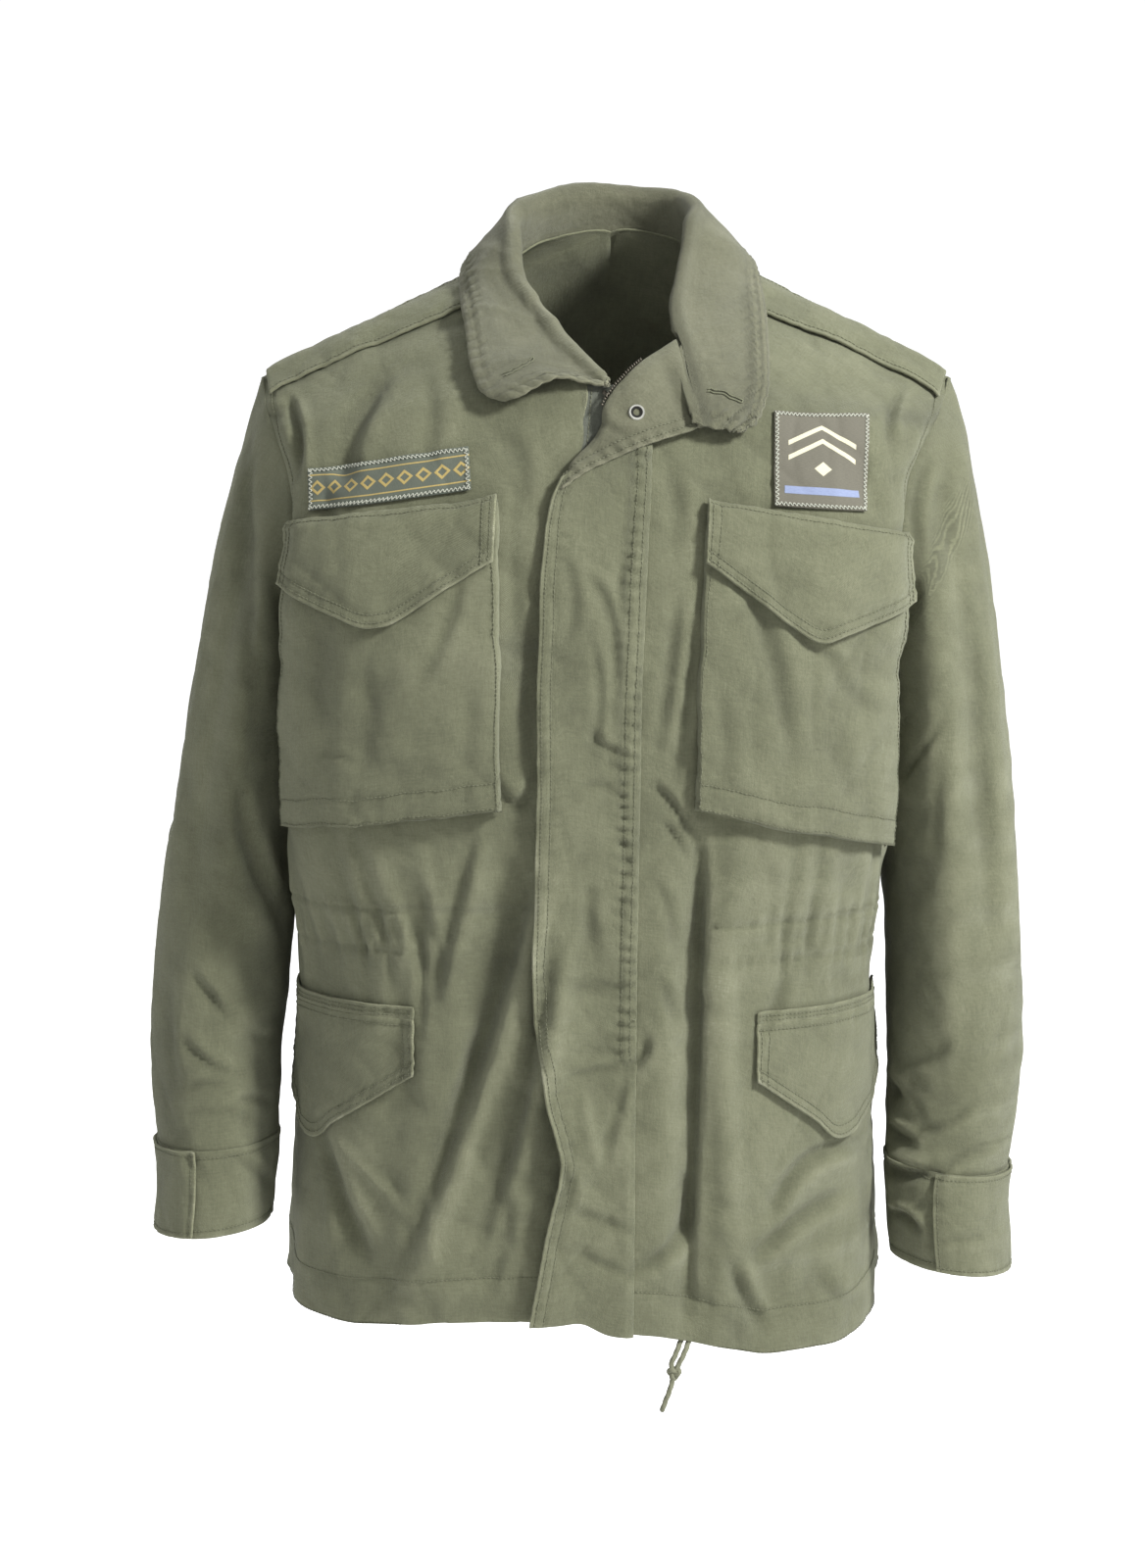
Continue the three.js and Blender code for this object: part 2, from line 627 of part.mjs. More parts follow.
// The grid of a stretch of a sleeve, its rows running up from the cuff to the armhole.
function sleeveGrid(sleeve, rings, proud = 0) {
  const order = sleeve.edge.map((_, j) => (sleeve.side > 0 ? sleeve.edge.length - 1 - j : j));
  const lines = [...rings].sort((a, b) => b - a);
  const bare = lines.map((ring) => order.map((j) => sleeve.bare(j, ring)));
  const out = facings(bare, true);
  return bare.map((line, i) =>
    line.map((p, k) => p.addScaledVector(out[i][k], proud + sleeve.creased(order[k], lines[i]))));
}

const SLEEVE_RINGS = [
  0, 0.4, 1, 1.8, 2.8, 3.8, 4.8, 5.6, 6.2, 6.8, 7.4, 8, 8.6, CUFF_RING,
];
const CUFF_RINGS = [CUFF_RING, 9.8, 10.4, LAST_RING];
const CUFF_PROUD = 0.8;

// The cloth of a body panel, centre edge first. Its grid is turned round for the wall where
// that makes the columns run to the right as seen from outside.
const reversed = (grid) => grid.map((line) => [...line].reverse());
function clothOf(name, rows, side, outward, centre) {
  const grid = gridOf(panels[name], rows, shares, centre);
  const out = facings(grid, false);
  const mirrored = side * outward < 0;
  if (mirrored) out.forEach((line) => line.forEach((v) => v.negate()));
  return { grid, out, mirrored };
}
function clothWall(cloth, edges, thick, options) {
  const grid = trim(cloth.grid, edges);
  if (!cloth.mirrored) return wallGeometry(grid, cloth.out, thick, options);
  return wallGeometry(reversed(grid), reversed(cloth.out), thick, options);
}

// Two pieces that meet in a seam share their outward directions there, so that their walls
// meet on a mitre and stay a seam gap apart all the way through the cloth.
function mitre(...places) {
  const both = new THREE.Vector3();
  for (const [cloth, i, j] of places) both.add(cloth.out[i][j]);
  both.normalize();
  for (const [cloth, i, j] of places) cloth.out[i][j] = both;
}

const SIDE_EDGE = shares.length - 1;
const PIT_ROW = frontRows.findIndex((t) => t >= ARMPIT);
const NECK_ROW = backRows.findIndex((t) => t >= BACK_NECK);
const fronts = {};
const backs = {};
const sleeves = {};
for (const side of [-1, 1]) {
  fronts[side] = clothOf(`front${side}`, frontRows, side, 1, ZIP_EDGE[side]);
  backs[side] = clothOf(`back${side}`, backRows, side, -1, 0);
}
for (let i = 0; i <= NECK_ROW; i += 1) {
  mitre([backs[-1], i, 0], [backs[1], i, 0]);
  const middle = backs[-1].grid[i][0].clone().lerp(backs[1].grid[i][0], 0.5);
  backs[-1].grid[i][0] = middle;
  backs[1].grid[i][0] = middle;
}
for (const side of [-1, 1]) {
  const sleeve = makeSleeve(side);
  const grid = sleeveGrid(sleeve, SLEEVE_RINGS);
  sleeves[side] = { sleeve, grid, out: facings(grid, true), mirrored: false };
  const [front, back] = [fronts[side], backs[side]];
  const [frontTop, backTop] = [frontRows.length - 1, backRows.length - 1];
  for (let i = 0; i < PIT_ROW; i += 1) mitre([front, i, SIDE_EDGE], [back, i, SIDE_EDGE]);
  for (let j = 0; j < SIDE_EDGE; j += 1) mitre([front, frontTop, j], [back, backTop, j]);
  for (let k = 0; k < sleeve.edge.length; k += 1) {
    const column = side > 0 ? sleeve.edge.length - 1 - k : k;
    const places = [[sleeves[side], grid.length - 1, column]];
    if (k <= sleeve.pit) places.push([front, frontTop - k, SIDE_EDGE]);
    if (k >= sleeve.pit) places.push([back, PIT_ROW + k - sleeve.pit, SIDE_EDGE]);
    if (k === 0) places.push([back, backTop, SIDE_EDGE]);
    mitre(...places);
  }
}

const SIDES = [[-1, "right"], [1, "left"]];
for (const [side, name] of SIDES) {
  addPiece(`front_${name}`, clothWall(fronts[side], ["end", "top"], CLOTH), OLIVE);
  addPiece(`sleeve_${name}`,
    clothWall(sleeves[side], ["top", "bottom"], CLOTH, { round: true }), OLIVE);
}
const backHalves = [
  clothWall(backs[-1], ["end", "top"], CLOTH, { sharedStart: NECK_ROW }),
  clothWall(backs[1], ["end", "top"], CLOTH, { sharedEnd: NECK_ROW }),
];
addPiece("back", mergeVertices(mergeGeometries(backHalves), 1e-3), OLIVE);

// Where a value lies among rising numbers, as a fractional index.
function indexIn(knots, value) {
  let i = 0;
  while (i < knots.length - 2 && knots[i + 1] < value) i += 1;
  return i + (value - knots[i]) / (knots[i + 1] - knots[i]);
}

// The point and outward direction of a grid of cloth at a fractional row and column.
function between(cloth, row, column) {
  const i = Math.min(cloth.grid.length - 2, Math.max(0, Math.floor(row)));
  const j = Math.min(cloth.grid[0].length - 2, Math.max(0, Math.floor(column)));
  const [f, g] = [row - i, column - j];
  const blend = (field) => {
    const low = field[i][j].clone().lerp(field[i][j + 1], g);
    const high = field[i + 1][j].clone().lerp(field[i + 1][j + 1], g);
    return low.lerp(high, f);
  };
  return { point: blend(cloth.grid), out: blend(cloth.out).normalize() };
}

// The cloth of the two fronts at a distance from the centre and a height of the centre edge.
// The wearer's right has negative distances.
const wholeFronts = {
  "-1": clothOf("front-1", frontRows, -1, 1, 0),
  1: clothOf("front1", frontRows, 1, 1, 0),
};
function onFront(d, z) {
  const side = d < 0 ? -1 : 1;
  const panel = panels[`front${side}`];
  const t = panel.rowOfHeight(z);
  const share = Math.abs(d) / panel.length(t);
  return between(wholeFronts[side], indexIn(frontRows, t), share * (shares.length - 1));
}

// A piece of one thickness on the fronts, as rows of [distance, height, proud].
function laid(places, extra = 0) {
  return places.map((line) => line.map(([d, z, proud]) => {
    const { point, out } = onFront(d, z);
    return point.addScaledVector(out, proud + extra);
  }));
}
const laidSheet = (places, thick) => shellGeometry(laid(places, thick), laid(places));
const lerp = THREE.MathUtils.lerp;

// Shares of the way between two distances at which the columns of the panel's points lie.
function columnsBetween(side, from, to, z) {
  const panel = panels[`front${side}`];
  const pitch = panel.length(panel.rowOfHeight(z)) / SIDE_EDGE;
  const steps = [];
  for (let k = Math.ceil(from / pitch); k * pitch < to; k += 1) {
    steps.push((k * pitch - from) / (to - from));
  }
  return [0, ...steps.filter((u) => u > 0.03 && u < 0.97), 1];
}
const acrossFront = (side, line) => (side < 0 ? reversed(line) : line);

// Bellows pockets: a tray whose rims are turned down to the panel
function pocketOf(side) {
  const size = CHEST_POCKET[side];
  const columns = columnsBetween(side, size.inLow, size.outLow, (size.zInTop + size.zInLow) / 2);
  const heights = [0, 0.14, 0.32, 0.45, 0.54, 0.63, 0.72, 0.81, 0.9, 1];
  const place = (u, v, du, dv) => {
    const d = lerp(lerp(size.inLow, size.outLow, u), lerp(size.inTop, size.outTop, u), v);
    const z = lerp(lerp(size.zInLow, size.zOutLow, u), lerp(size.zInTop, size.zOutTop, u), v);
    return [side * (d + du * POCKET.gusset), z + dv * POCKET.gusset];
  };
  const proudAt = (v) => lerp(POCKET.proudLow, POCKET.proudTop, v);
  const line = (v, dv) => [
    [...place(columns[0], v, -1, dv), POCKET.rim],
    ...columns.map((u) => [...place(u, v, 0, dv), dv ? POCKET.rim : proudAt(v)]),
    [...place(columns.at(-1), v, 1, dv), POCKET.rim],
  ];
  const rows = [line(0, -1), ...heights.map((v) => line(v, 0)), line(1, 1)];
  return { places: acrossFront(side, rows), proudAt, place, columns };
}

// Pocket flaps: the edge table gives their depth
function chestFlap(side) {
  const pocket = pocketOf(side);
  const { zInTop, zInLow } = CHEST_POCKET[side];
  const rows = [1, 0.75, 0.5, 0.25, 0.09, 0].map((v) =>
    pocket.columns.map((u) => {
      const deep = CHEST_FLAP.overlap + readAt(CHEST_FLAP_EDGE[side], "share", u).deep;
      const [d, top] = pocket.place(u, 1, 0, 0);
      const down = v * deep - CHEST_FLAP.overlap;
      const over = pocket.proudAt(Math.min(1, 1 - down / (zInTop - zInLow)));
      const lies = v === 0 ? POCKET.rim : over + 1.3 + CHEST_FLAP.lift * v * v;
      return [d, top - down, lies];
    }));
  return acrossFront(side, rows);
}
function lowerFlap(side) {
  const { from, z, width } = LOWER_POCKET[side];
  const columns = columnsBetween(side, from, from + width, z);
  const rows = [1, 0.66, 0.33, 0].map((v) => columns.map((u) => {
    const deep = readAt(LOWER_FLAP_EDGE[side], "share", u).deep;
    return [side * (from + u * width), z - v * deep, LAID_ON + 1.2 * v * v];
  }));
  return acrossFront(side, rows);
}
function lowerWelt(side) {
  const { from, z, width } = LOWER_POCKET[side];
  const columns = columnsBetween(side, from, from + width, z);
  const rows = [0.5, WELT.tall / 2, WELT.tall].map((up) =>
    columns.map((u) => [side * (from + u * width), z + up, LAID_ON]));
  return acrossFront(side, rows);
}

// Where the cloth of the fronts lies behind a point of the front view.
function frontAt(x, z) {
  const side = x < readAt(LEAN, "z", z).x ? -1 : 1;
  const cloth = wholeFronts[side];
  const solve = (low, high, rising) => {
    let [a, b] = [low, high];
    for (let i = 0; i < 30; i += 1) {
      const middle = (a + b) / 2;
      if (rising(middle)) b = middle;
      else a = middle;
    }
    return (a + b) / 2;
  };
  const column = (row) => solve(0, SIDE_EDGE, (c) => side * (between(cloth, row, c).point.x - x) > 0);
  const row = solve(0, frontRows.length - 1, (r) => between(cloth, r, column(r)).point.z > z);
  return between(cloth, row, column(row));
}
function patchGeometry([topIn, topOut, lowOut, lowIn]) {
  const [left, right] = topIn.x < topOut.x
    ? [[topIn, lowIn], [topOut, lowOut]]
    : [[topOut, lowOut], [topIn, lowIn]];
  const spots = evenly(4).map((v) => evenly(9).map((u) => {
    const top = ["x", "z"].map((key) => lerp(left[0][key], right[0][key], u));
    const low = ["x", "z"].map((key) => lerp(left[1][key], right[1][key], u));
    return frontAt(lerp(low[0], top[0], v), lerp(low[1], top[1], v));
  }));
  const lift = (proud) => spots.map((line) =>
    line.map(({ point, out }) => point.clone().addScaledVector(out, proud)));
  return shellGeometry(lift(PATCH_PROUD + PATCH_THICK), lift(PATCH_PROUD));
}

for (const [side, name] of SIDES) {
  const tray = laid(pocketOf(side).places);
  addPiece(`pocket_chest_${name}`, wallGeometry(tray, facings(tray, false), POCKET.thick), OLIVE);
  addPiece(`flap_chest_${name}`, laidSheet(chestFlap(side), DOUBLED), OLIVE);
  addPiece(`flap_lower_${name}`, laidSheet(lowerFlap(side), DOUBLED), OLIVE);
  addPiece(`welt_${name}`, laidSheet(lowerWelt(side), WELT.thick), OLIVE);
}
addPiece("name_tape", patchGeometry(NAME_TAPE), TAPE);
addPiece("badge", patchGeometry(BADGE), PATCH);

// Storm flap, over both fronts
const flyPlaces = FLY.map(({ z, edge, lift }, i) =>
  [0, 0.25, 0.5, 0.75, 1].map((u) => {
    const top = i >= FLY.length - 2 ? FLY_HEM.rise * (i - FLY.length + 3) * 0.5 * u : 0;
    return [lerp(edge, FLY_HEM.stitched, u), z + top, LAID_ON + 0.4 + lift * (1 - u) ** 1.6];
  }));
addPiece("fly", laidSheet(flyPlaces, FLY_HEM.thick), OLIVE);

// Zip tape in the gap between the fronts
const tapeRows = frontRows
  .map((t, i) => [t, i])
  .filter(([t]) => t >= rowOf(FRONT, "zc", -655) && t <= 12)
  .map(([, i]) => i);
const tape = tapeRows.map((i) => {
  const [right, left] = [fronts[-1].grid[i][0], fronts[1].grid[i][0]];
  const gap = SEAM_GAP / right.distanceTo(left);
  return [gap, 0.35, 0.7, 1 - gap].map((u) => right.clone().lerp(left, u));
});
addPiece("zip_tape", wallGeometry(tape, facings(tape, false), CLOTH), TAPE);

// Turned-back flap and collar
const vector = ({ x, y, z }) => new THREE.Vector3(x, y, z);
const curveOf = (rows) => new THREE.CatmullRomCurve3(rows.map(vector), false, "centripetal");
const gorge = (share) => {
  const i = Math.min(2, Math.floor(share * 3));
  return vector(GORGE[i]).lerp(vector(GORGE[i + 1]), share * 3 - i);
};
const LAPEL = { stations: 9, across: [0, 0.1, 1 / 3, 2 / 3, 0.88, 1], bulge: 1.6, curl: 3 };
const [lapelRoll, lapelFree] = [curveOf(LAPEL_ROLL), curveOf(LAPEL_FREE)];
const lapelGrid = evenly(LAPEL.stations).map((s) =>
  LAPEL.across.map((v, i) => {
    const p = lapelRoll.getPoint(s).lerp(lapelFree.getPoint(s), v);
    if (s === 1) p.copy(gorge(v));
    p.y -= LAPEL.bulge * Math.sin(Math.PI * v) * Math.sin(Math.PI * Math.min(1, s * 1.4));
    if (i === 0 && s < 1) p.y += LAPEL.curl * smooth(s * 2);
    return p;
  }));
const lapelTrimmed = trim(lapelGrid, ["top"]);
addPiece("lapel", wallGeometry(lapelTrimmed, facings(lapelGrid, false), DOUBLED), OLIVE_WORN);

function collarSection(row) {
  const base = new THREE.Vector3(row.bx, row.by, row.bz);
  const roll = new THREE.Vector3(row.rx, row.ry, row.rz);
  const edge = new THREE.Vector3(row.ex, row.ey, row.ez);
  const stand = roll.distanceTo(base);
  const along = (u) => base.clone().lerp(edge, u);
  let [low, top, over] = [along(0.08), along(0.16), along(0.26)];
  if (stand > 1) {
    const side = edge.clone().sub(roll).setZ(0).normalize();
    const r = Math.min(COLLAR_ROLL, stand * 0.35);
    const beside = (sign) => roll.clone().addScaledVector(side, sign * r).setZ(roll.z - r);
    [low, top, over] = [beside(-1), roll, beside(1)];
  }
  const middle = over.clone().lerp(edge, 0.5);
  middle.z += row.bow;
  const points = [base, low, top, over, middle, edge];
  const curve = new THREE.CatmullRomCurve3(points, false, "centripetal");
  return evenly(10).map((u) => curve.getPoint(1 - u));
}
const collarColumns = COLLAR.map(collarSection);
const collarGrid = collarColumns[0].map((_, i) => collarColumns.map((c) => c[i]).reverse());
const collarTrimmed = trim(collarGrid, ["top"]);
addPiece("collar",
  wallGeometry(collarTrimmed, facings(collarGrid, false), COLLAR_THICK), OLIVE_WORN);

// Snap socket on the turned-back flap
const SNAP = { row: 0.66 * LAPEL.stations, column: 2.4 };
const snapProfile = [[0, -0.1], [5.5, -0.1], [5.5, 0.9], [4.9, 1.6], [2.5, 1.5], [2.2, 0.3], [0, 0.3]]
  .map(([r, h]) => new THREE.Vector2(r, h));
const snapSocket = new THREE.LatheGeometry(snapProfile, 18);
const lapelCloth = { grid: lapelGrid, out: facings(lapelGrid, false) };
const snapPlace = between(lapelCloth, SNAP.row, SNAP.column);
const snapMesh = addPiece("snap_socket", snapSocket, METAL);
snapMesh.position.copy(snapPlace.point).addScaledVector(snapPlace.out, 0.7);
snapMesh.quaternion.setFromUnitVectors(new THREE.Vector3(0, 1, 0), snapPlace.out);

// Cuffs and their tabs
const cuffs = {};
for (const [side, name] of SIDES) {
  const { sleeve } = sleeves[side];
  const grid = sleeveGrid(sleeve, CUFF_RINGS, CUFF_PROUD);
  cuffs[side] = { grid, out: facings(grid, true), mirrored: false };
  addPiece(`cuff_${name}`, clothWall(cuffs[side], ["top"], CLOTH, { round: true }), OLIVE);
  const count = sleeve.edge.length;
  const around = (degrees, row, proud) => {
    const j = indexIn([...sleeve.degrees, 360], (degrees + 360) % 360);
    const column = (k) => (side > 0 ? count - 1 - (k % count) : k % count);
    const [a, b] = [column(Math.floor(j)), column(Math.floor(j) + 1)];
    const [i, f] = [Math.min(grid.length - 2, Math.floor(row)), j % 1];
    const blend = (field) => field[i][a].clone().lerp(field[i][b], f)
      .lerp(field[i + 1][a].clone().lerp(field[i + 1][b], f), row - i);
    return blend(grid).addScaledVector(blend(cuffs[side].out).normalize(), proud);
  };
  const { start, end, thick } = CUFF_TAB;
  const turns = [
    start,
    ...sleeve.degrees.filter((a) => a > 360 + start + 4).map((a) => a - 360),
    ...sleeve.degrees.filter((a) => a < end[side] - 4),
    end[side],
  ];
  const rows = (proud) => [0.04, 1, 2, 2.94].map((row) =>
    turns.map((degrees) => around(degrees, row, proud)));
  const [outer, inner] = [rows(LAID_ON + thick), rows(LAID_ON)];
  addPiece(`cuff_tab_${name}`, side > 0
    ? shellGeometry(reversed(outer), reversed(inner))
    : shellGeometry(outer, inner), OLIVE);
}

// Shoulder loops, over the shoulder seams
for (const [side, name] of SIDES) {
  const onShoulder = (share, w) => {
    const cloth = w < 0 ? wholeFronts[side] : backs[side];
    const column = share * SIDE_EDGE;
    const last = cloth.grid.length - 1;
    const seam = between(cloth, last, column).point.y;
    let [low, high] = [last - 6, last];
    for (let i = 0; i < 30; i += 1) {
      const middle = (low + high) / 2;
      const off = between(cloth, middle, column).point.y - seam;
      if (Math.abs(off) > Math.abs(w)) low = middle;
      else high = middle;
    }
    return between(cloth, high, column);
  };
  const { from, to, half, arch, thick } = SHOULDER_LOOP;
  const inner = shares.filter((f) => f > from + 0.02 && f < to - 0.02);
  const rows = (extra) => [-1, -0.5, 0, 0.5, 1].map((w) =>
    [from, ...inner, to].map((share) => {
      const { point, out } = onShoulder(share, w * half);
      const rise = arch * (1 - w * w) * Math.sin((Math.PI * (share - from)) / (to - from));
      return point.addScaledVector(out, LAID_ON + 0.6 + rise + extra);
    }));
  const [outside, inside] = [rows(thick), rows(0)];
  addPiece(`shoulder_loop_${name}`, side > 0
    ? shellGeometry(outside, inside)
    : shellGeometry(reversed(outside), reversed(inside)), OLIVE);
}

// Hem drawcord
const cordSection = new THREE.Shape(Array.from({ length: 8 }, (_, k) => new THREE.Vector2(
  Math.cos((k * Math.PI) / 4), Math.sin((k * Math.PI) / 4)).multiplyScalar(HEM_CORD.thick / 2)));
const cordGeometry = (points, steps) => new THREE.ExtrudeGeometry(cordSection, {
  steps,
  bevelEnabled: false,
  extrudePath: new THREE.CatmullRomCurve3(points.map(([x, y, z]) => new THREE.Vector3(x, y, z))),
});
const { knot } = HEM_CORD;
addPiece("hem_cord", cordGeometry(HEM_CORD.loop, 20), CORD);
addPiece("hem_cord_end", cordGeometry(HEM_CORD.end, 5), CORD);
const knotMesh = addPiece("hem_cord_knot", new THREE.SphereGeometry(1, 12, 8), CORD);
knotMesh.position.set(...knot.at);
knotMesh.scale.set(...knot.size);

export { jacket };
export default jacket;
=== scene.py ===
# %% [markdown]
# # A field jacket, worn and hollow
# Heavy cotton keeps the shape of whoever wears it, and most of what the eye reads as cloth is
# small: folds that start at a pocket corner, a seam that draws the cloth up, an edge worn pale.
# The frame already has every cut piece as a plain wall at its real size. This lesson reads the
# net of each piece from the frame, makes it fine, presses the folds into it, sews it and
# colours it. Lengths are in millimetres until a mesh is made.

# %% Load the frame
import json

import bpy
import numpy as np
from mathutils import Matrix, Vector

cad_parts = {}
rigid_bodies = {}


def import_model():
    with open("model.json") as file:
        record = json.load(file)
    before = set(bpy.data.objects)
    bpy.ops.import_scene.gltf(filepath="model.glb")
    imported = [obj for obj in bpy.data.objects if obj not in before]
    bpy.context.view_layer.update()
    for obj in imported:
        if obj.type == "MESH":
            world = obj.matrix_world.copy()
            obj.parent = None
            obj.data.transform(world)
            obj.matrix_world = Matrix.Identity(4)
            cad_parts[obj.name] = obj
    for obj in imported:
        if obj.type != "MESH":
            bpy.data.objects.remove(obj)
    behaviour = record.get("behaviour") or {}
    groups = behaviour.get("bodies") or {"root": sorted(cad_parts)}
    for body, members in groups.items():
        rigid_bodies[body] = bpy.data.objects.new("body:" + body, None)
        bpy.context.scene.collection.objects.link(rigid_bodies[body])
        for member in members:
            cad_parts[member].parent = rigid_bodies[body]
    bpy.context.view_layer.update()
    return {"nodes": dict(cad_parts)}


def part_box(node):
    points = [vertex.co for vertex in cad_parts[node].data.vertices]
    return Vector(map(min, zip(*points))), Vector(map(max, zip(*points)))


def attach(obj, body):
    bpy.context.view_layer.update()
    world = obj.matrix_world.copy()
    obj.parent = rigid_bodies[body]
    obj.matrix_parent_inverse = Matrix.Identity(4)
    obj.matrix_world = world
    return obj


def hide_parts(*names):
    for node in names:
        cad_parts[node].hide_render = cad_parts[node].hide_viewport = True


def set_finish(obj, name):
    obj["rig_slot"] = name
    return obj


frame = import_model()
print("frame nodes:", len(frame["nodes"]))


def named(columns, rows):
    """Rows of a table as dictionaries with named columns."""
    return [dict(zip(columns.split(), row)) for row in rows]


def unit(v):
    """Vectors scaled to a length of one."""
    return v / np.maximum(np.linalg.norm(v, axis=-1, keepdims=True), 1e-12)


def smooth(x):
    """A step from 0 to 1 with soft ends: 3x^2 - 2x^3."""
    x = np.clip(x, 0, 1)
    return x * x * (3 - 2 * x)


# %% [markdown]
# ## Reading the nets
# A tailor's pattern piece is a sheet with two directions, along the cloth and up it. Each wall
# in the frame is such a sheet of corner points, but its triangles come in no order. Two facts
# are enough to put them back in rows: where the first corner lies, and which corner is beside
# it. From there the walk steps over shared edges, one cell at a time. The two places are in
# millimetres, and each picks the frame's nearest point, so they only have to be about right.

# %% Where each net starts
NETS = named("name rows columns corner beside", [
    ("front_right", 26, 17, (-221.6, -4.1, -708), (-219, -22.4, -709.2)),
    ("front_left", 26, 17, (-3, -150, -711.1), (6.7, -149.9, -712.5)),
    ("back_right", 27, 17, (-11.9, 140, -704), (-30.6, 139.8, -704.3)),
    ("back_left", 27, 17, (197.7, -3.9, -708), (200.2, 14.4, -708)),
    ("sleeve_right", 14, 27, (-312.1, -31.8, -604.1), (-310.7, -45.5, -604)),
    ("sleeve_left", 14, 27, (288.9, -27.2, -623.1), (288.6, -23.1, -623)),
    ("cuff_right", 4, 27, (-311.8, -45, -664.9), (-310.5, -57.7, -664.8)),
    ("cuff_left", 4, 27, (288.8, -39.6, -693.9), (288.5, -35.8, -693.9)),
    ("cuff_tab_right", 4, 13, (-293.2, 2.2, -662.4), (-305.6, -11.2, -663.4)),
    ("cuff_tab_left", 4, 16, (235.1, -94.6, -685.3), (242.8, -96.5, -686.2)),
    ("pocket_chest_right", 12, 12, (-215, -77.9, -372.7), (-214.4, -79.3, -372.7)),
    ("pocket_chest_left", 12, 11, (63.5, -145.2, -349.5), (64.9, -145.1, -349.5)),
    ("flap_chest_right", 6, 10, (-220.5, -95.3, -201.3), (-210.3, -111.7, -206.8)),
    ("flap_chest_left", 6, 9, (71.6, -143.4, -180.5), (93, -145.1, -195.9)),
    ("flap_lower_right", 4, 11, (-217.1, -7.2, -545.7), (-216.9, -20.5, -553.7)),
    ("flap_lower_left", 4, 11, (108.4, -137.1, -539.7), (116.6, -133.3, -545.9)),
    ("welt_right", 3, 11, (-213.1, -3.9, -497.5), (-213.1, -16.9, -497.5)),
    ("welt_left", 3, 11, (108.1, -134, -500.5), (116.4, -130, -500.5)),
    ("fly", 12, 5, (-48.3, -156.6, -699.2), (-30.7, -155.6, -698.5)),
    ("zip_tape", 21, 4, (-26.3, -148.5, -648.3), (-18.2, -148.5, -649.4)),
    ("lapel", 10, 6, (-29, -129.5, -133), (-28.7, -129.8, -132.8)),
    ("collar", 11, 21, (-64, -109.5, -78.5), (-75, -104, -74)),
    ("shoulder_loop_right", 5, 15, (-228.8, -22, -78.6), (-224.7, -21.7, -75.1)),
    ("shoulder_loop_left", 5, 15, (101.1, -20.1, -16.3), (110.6, -20.2, -20.2)),
    ("name_tape", 5, 10, (-198.3, -91.7, -152.2), (-185.9, -97.4, -149.9)),
    ("badge", 5, 10, (117.2, -119.9, -145.2), (124.1, -118.7, -145.8)),
])


def corner_points(node):
    """The different corner points of a node, and its triangles as their numbers."""
    mesh = frame["nodes"][node].data
    places = np.zeros(3 * len(mesh.vertices))
    mesh.vertices.foreach_get("co", places)
    corners = np.zeros(3 * len(mesh.polygons), int)
    mesh.polygons.foreach_get("vertices", corners)
    points, number = np.unique(np.round(places.reshape(-1, 3) * 1000, 2), axis=0,
                               return_inverse=True)
    return points, number.ravel()[corners].reshape(-1, 3)


def net_of(start):
    """The outer side of a cloth wall as rows of points. Each cell a b c d is two triangles,
    a b c and a c d, so the third corner of a shared edge gives the next cell."""
    node = "back" if start["name"].startswith("back") else start["name"]
    points, triangles = corner_points(node)
    third = {}
    for a, b, c in triangles.tolist():
        third[a, b], third[b, c], third[c, a] = c, a, b
    nearest = [int(np.linalg.norm(points - np.array(spot), axis=1).argmin())
               for spot in (start["corner"], start["beside"])]
    grid = np.zeros((start["rows"], start["columns"]), int)
    grid[0, :2] = nearest
    for i in range(start["rows"] - 1):
        c = third[grid[i, 0], grid[i, 1]]
        grid[i + 1, :2] = third[grid[i, 0], c], c
    for j in range(1, start["columns"] - 1):
        for i in range(start["rows"] - 1):
            c = third[grid[i + 1, j], grid[i, j]]
            grid[i + 1, j + 1], grid[i, j + 1] = c, third[c, grid[i, j]]
    return points[grid]


nets = {start["name"]: net_of(start) for start in NETS}
print("nets:", {name: net.shape[:2] for name, net in nets.items()})

# %% [markdown]
# ## From a coarse net to cloth
# Cloth bends smoothly, so a curve is drawn through the points of the net, first across and
# then up, and read at every few millimetres. The curve is a cubic one whose slope at each
# point comes from its two neighbours. Where the cloth is folded over sharply, as at the rim
# of a bellows pocket, each side of the fold keeps a slope of its own.

# %% Refine a net
def refine(net, axis, cell, closed=False, corners=()):
    """Reads a smooth curve through a net along one axis, with a point about every cell.
    p = h00 p0 + h10 m0 + h01 p1 + h11 m1, with slopes m weighted by the neighbours' lengths."""
    knots = np.moveaxis(net, axis, 0)
    if closed:
        knots = np.concatenate([knots[-2:], knots, knots[:3]])
    steps = np.diff(knots, axis=0)
    size = np.linalg.norm(steps, axis=-1).mean(axis=1)
    slope = steps / size[:, None, None]
    weight = (size[1:] / (size[1:] + size[:-1]))[:, None, None]
    middle = slope[:-1] * weight + slope[1:] * (1 - weight)
    after = np.concatenate([slope[:1], middle, slope[-1:]])
    before = after.copy()
    for i in corners:
        before[i], after[i] = slope[i - 1], slope[i]
    first, last = (2, len(net[0] if axis else net) + 2) if closed else (0, len(steps))
    counts = np.maximum(1, np.round(size / cell).astype(int))[first:last]
    i = np.repeat(np.arange(first, last), counts)
    f = np.concatenate([np.arange(n) / n for n in counts])
    if not closed:
        i, f = np.append(i, last - 1), np.append(f, 1.0)
    f, h = f[:, None, None], size[i][:, None, None]
    made = (knots[i] * (1 + 2 * f) * (1 - f) ** 2 + after[i] * h * f * (1 - f) ** 2
            + knots[i + 1] * f * f * (3 - 2 * f) + before[i + 1] * h * f * f * (f - 1))
    return np.moveaxis(made, 0, axis)


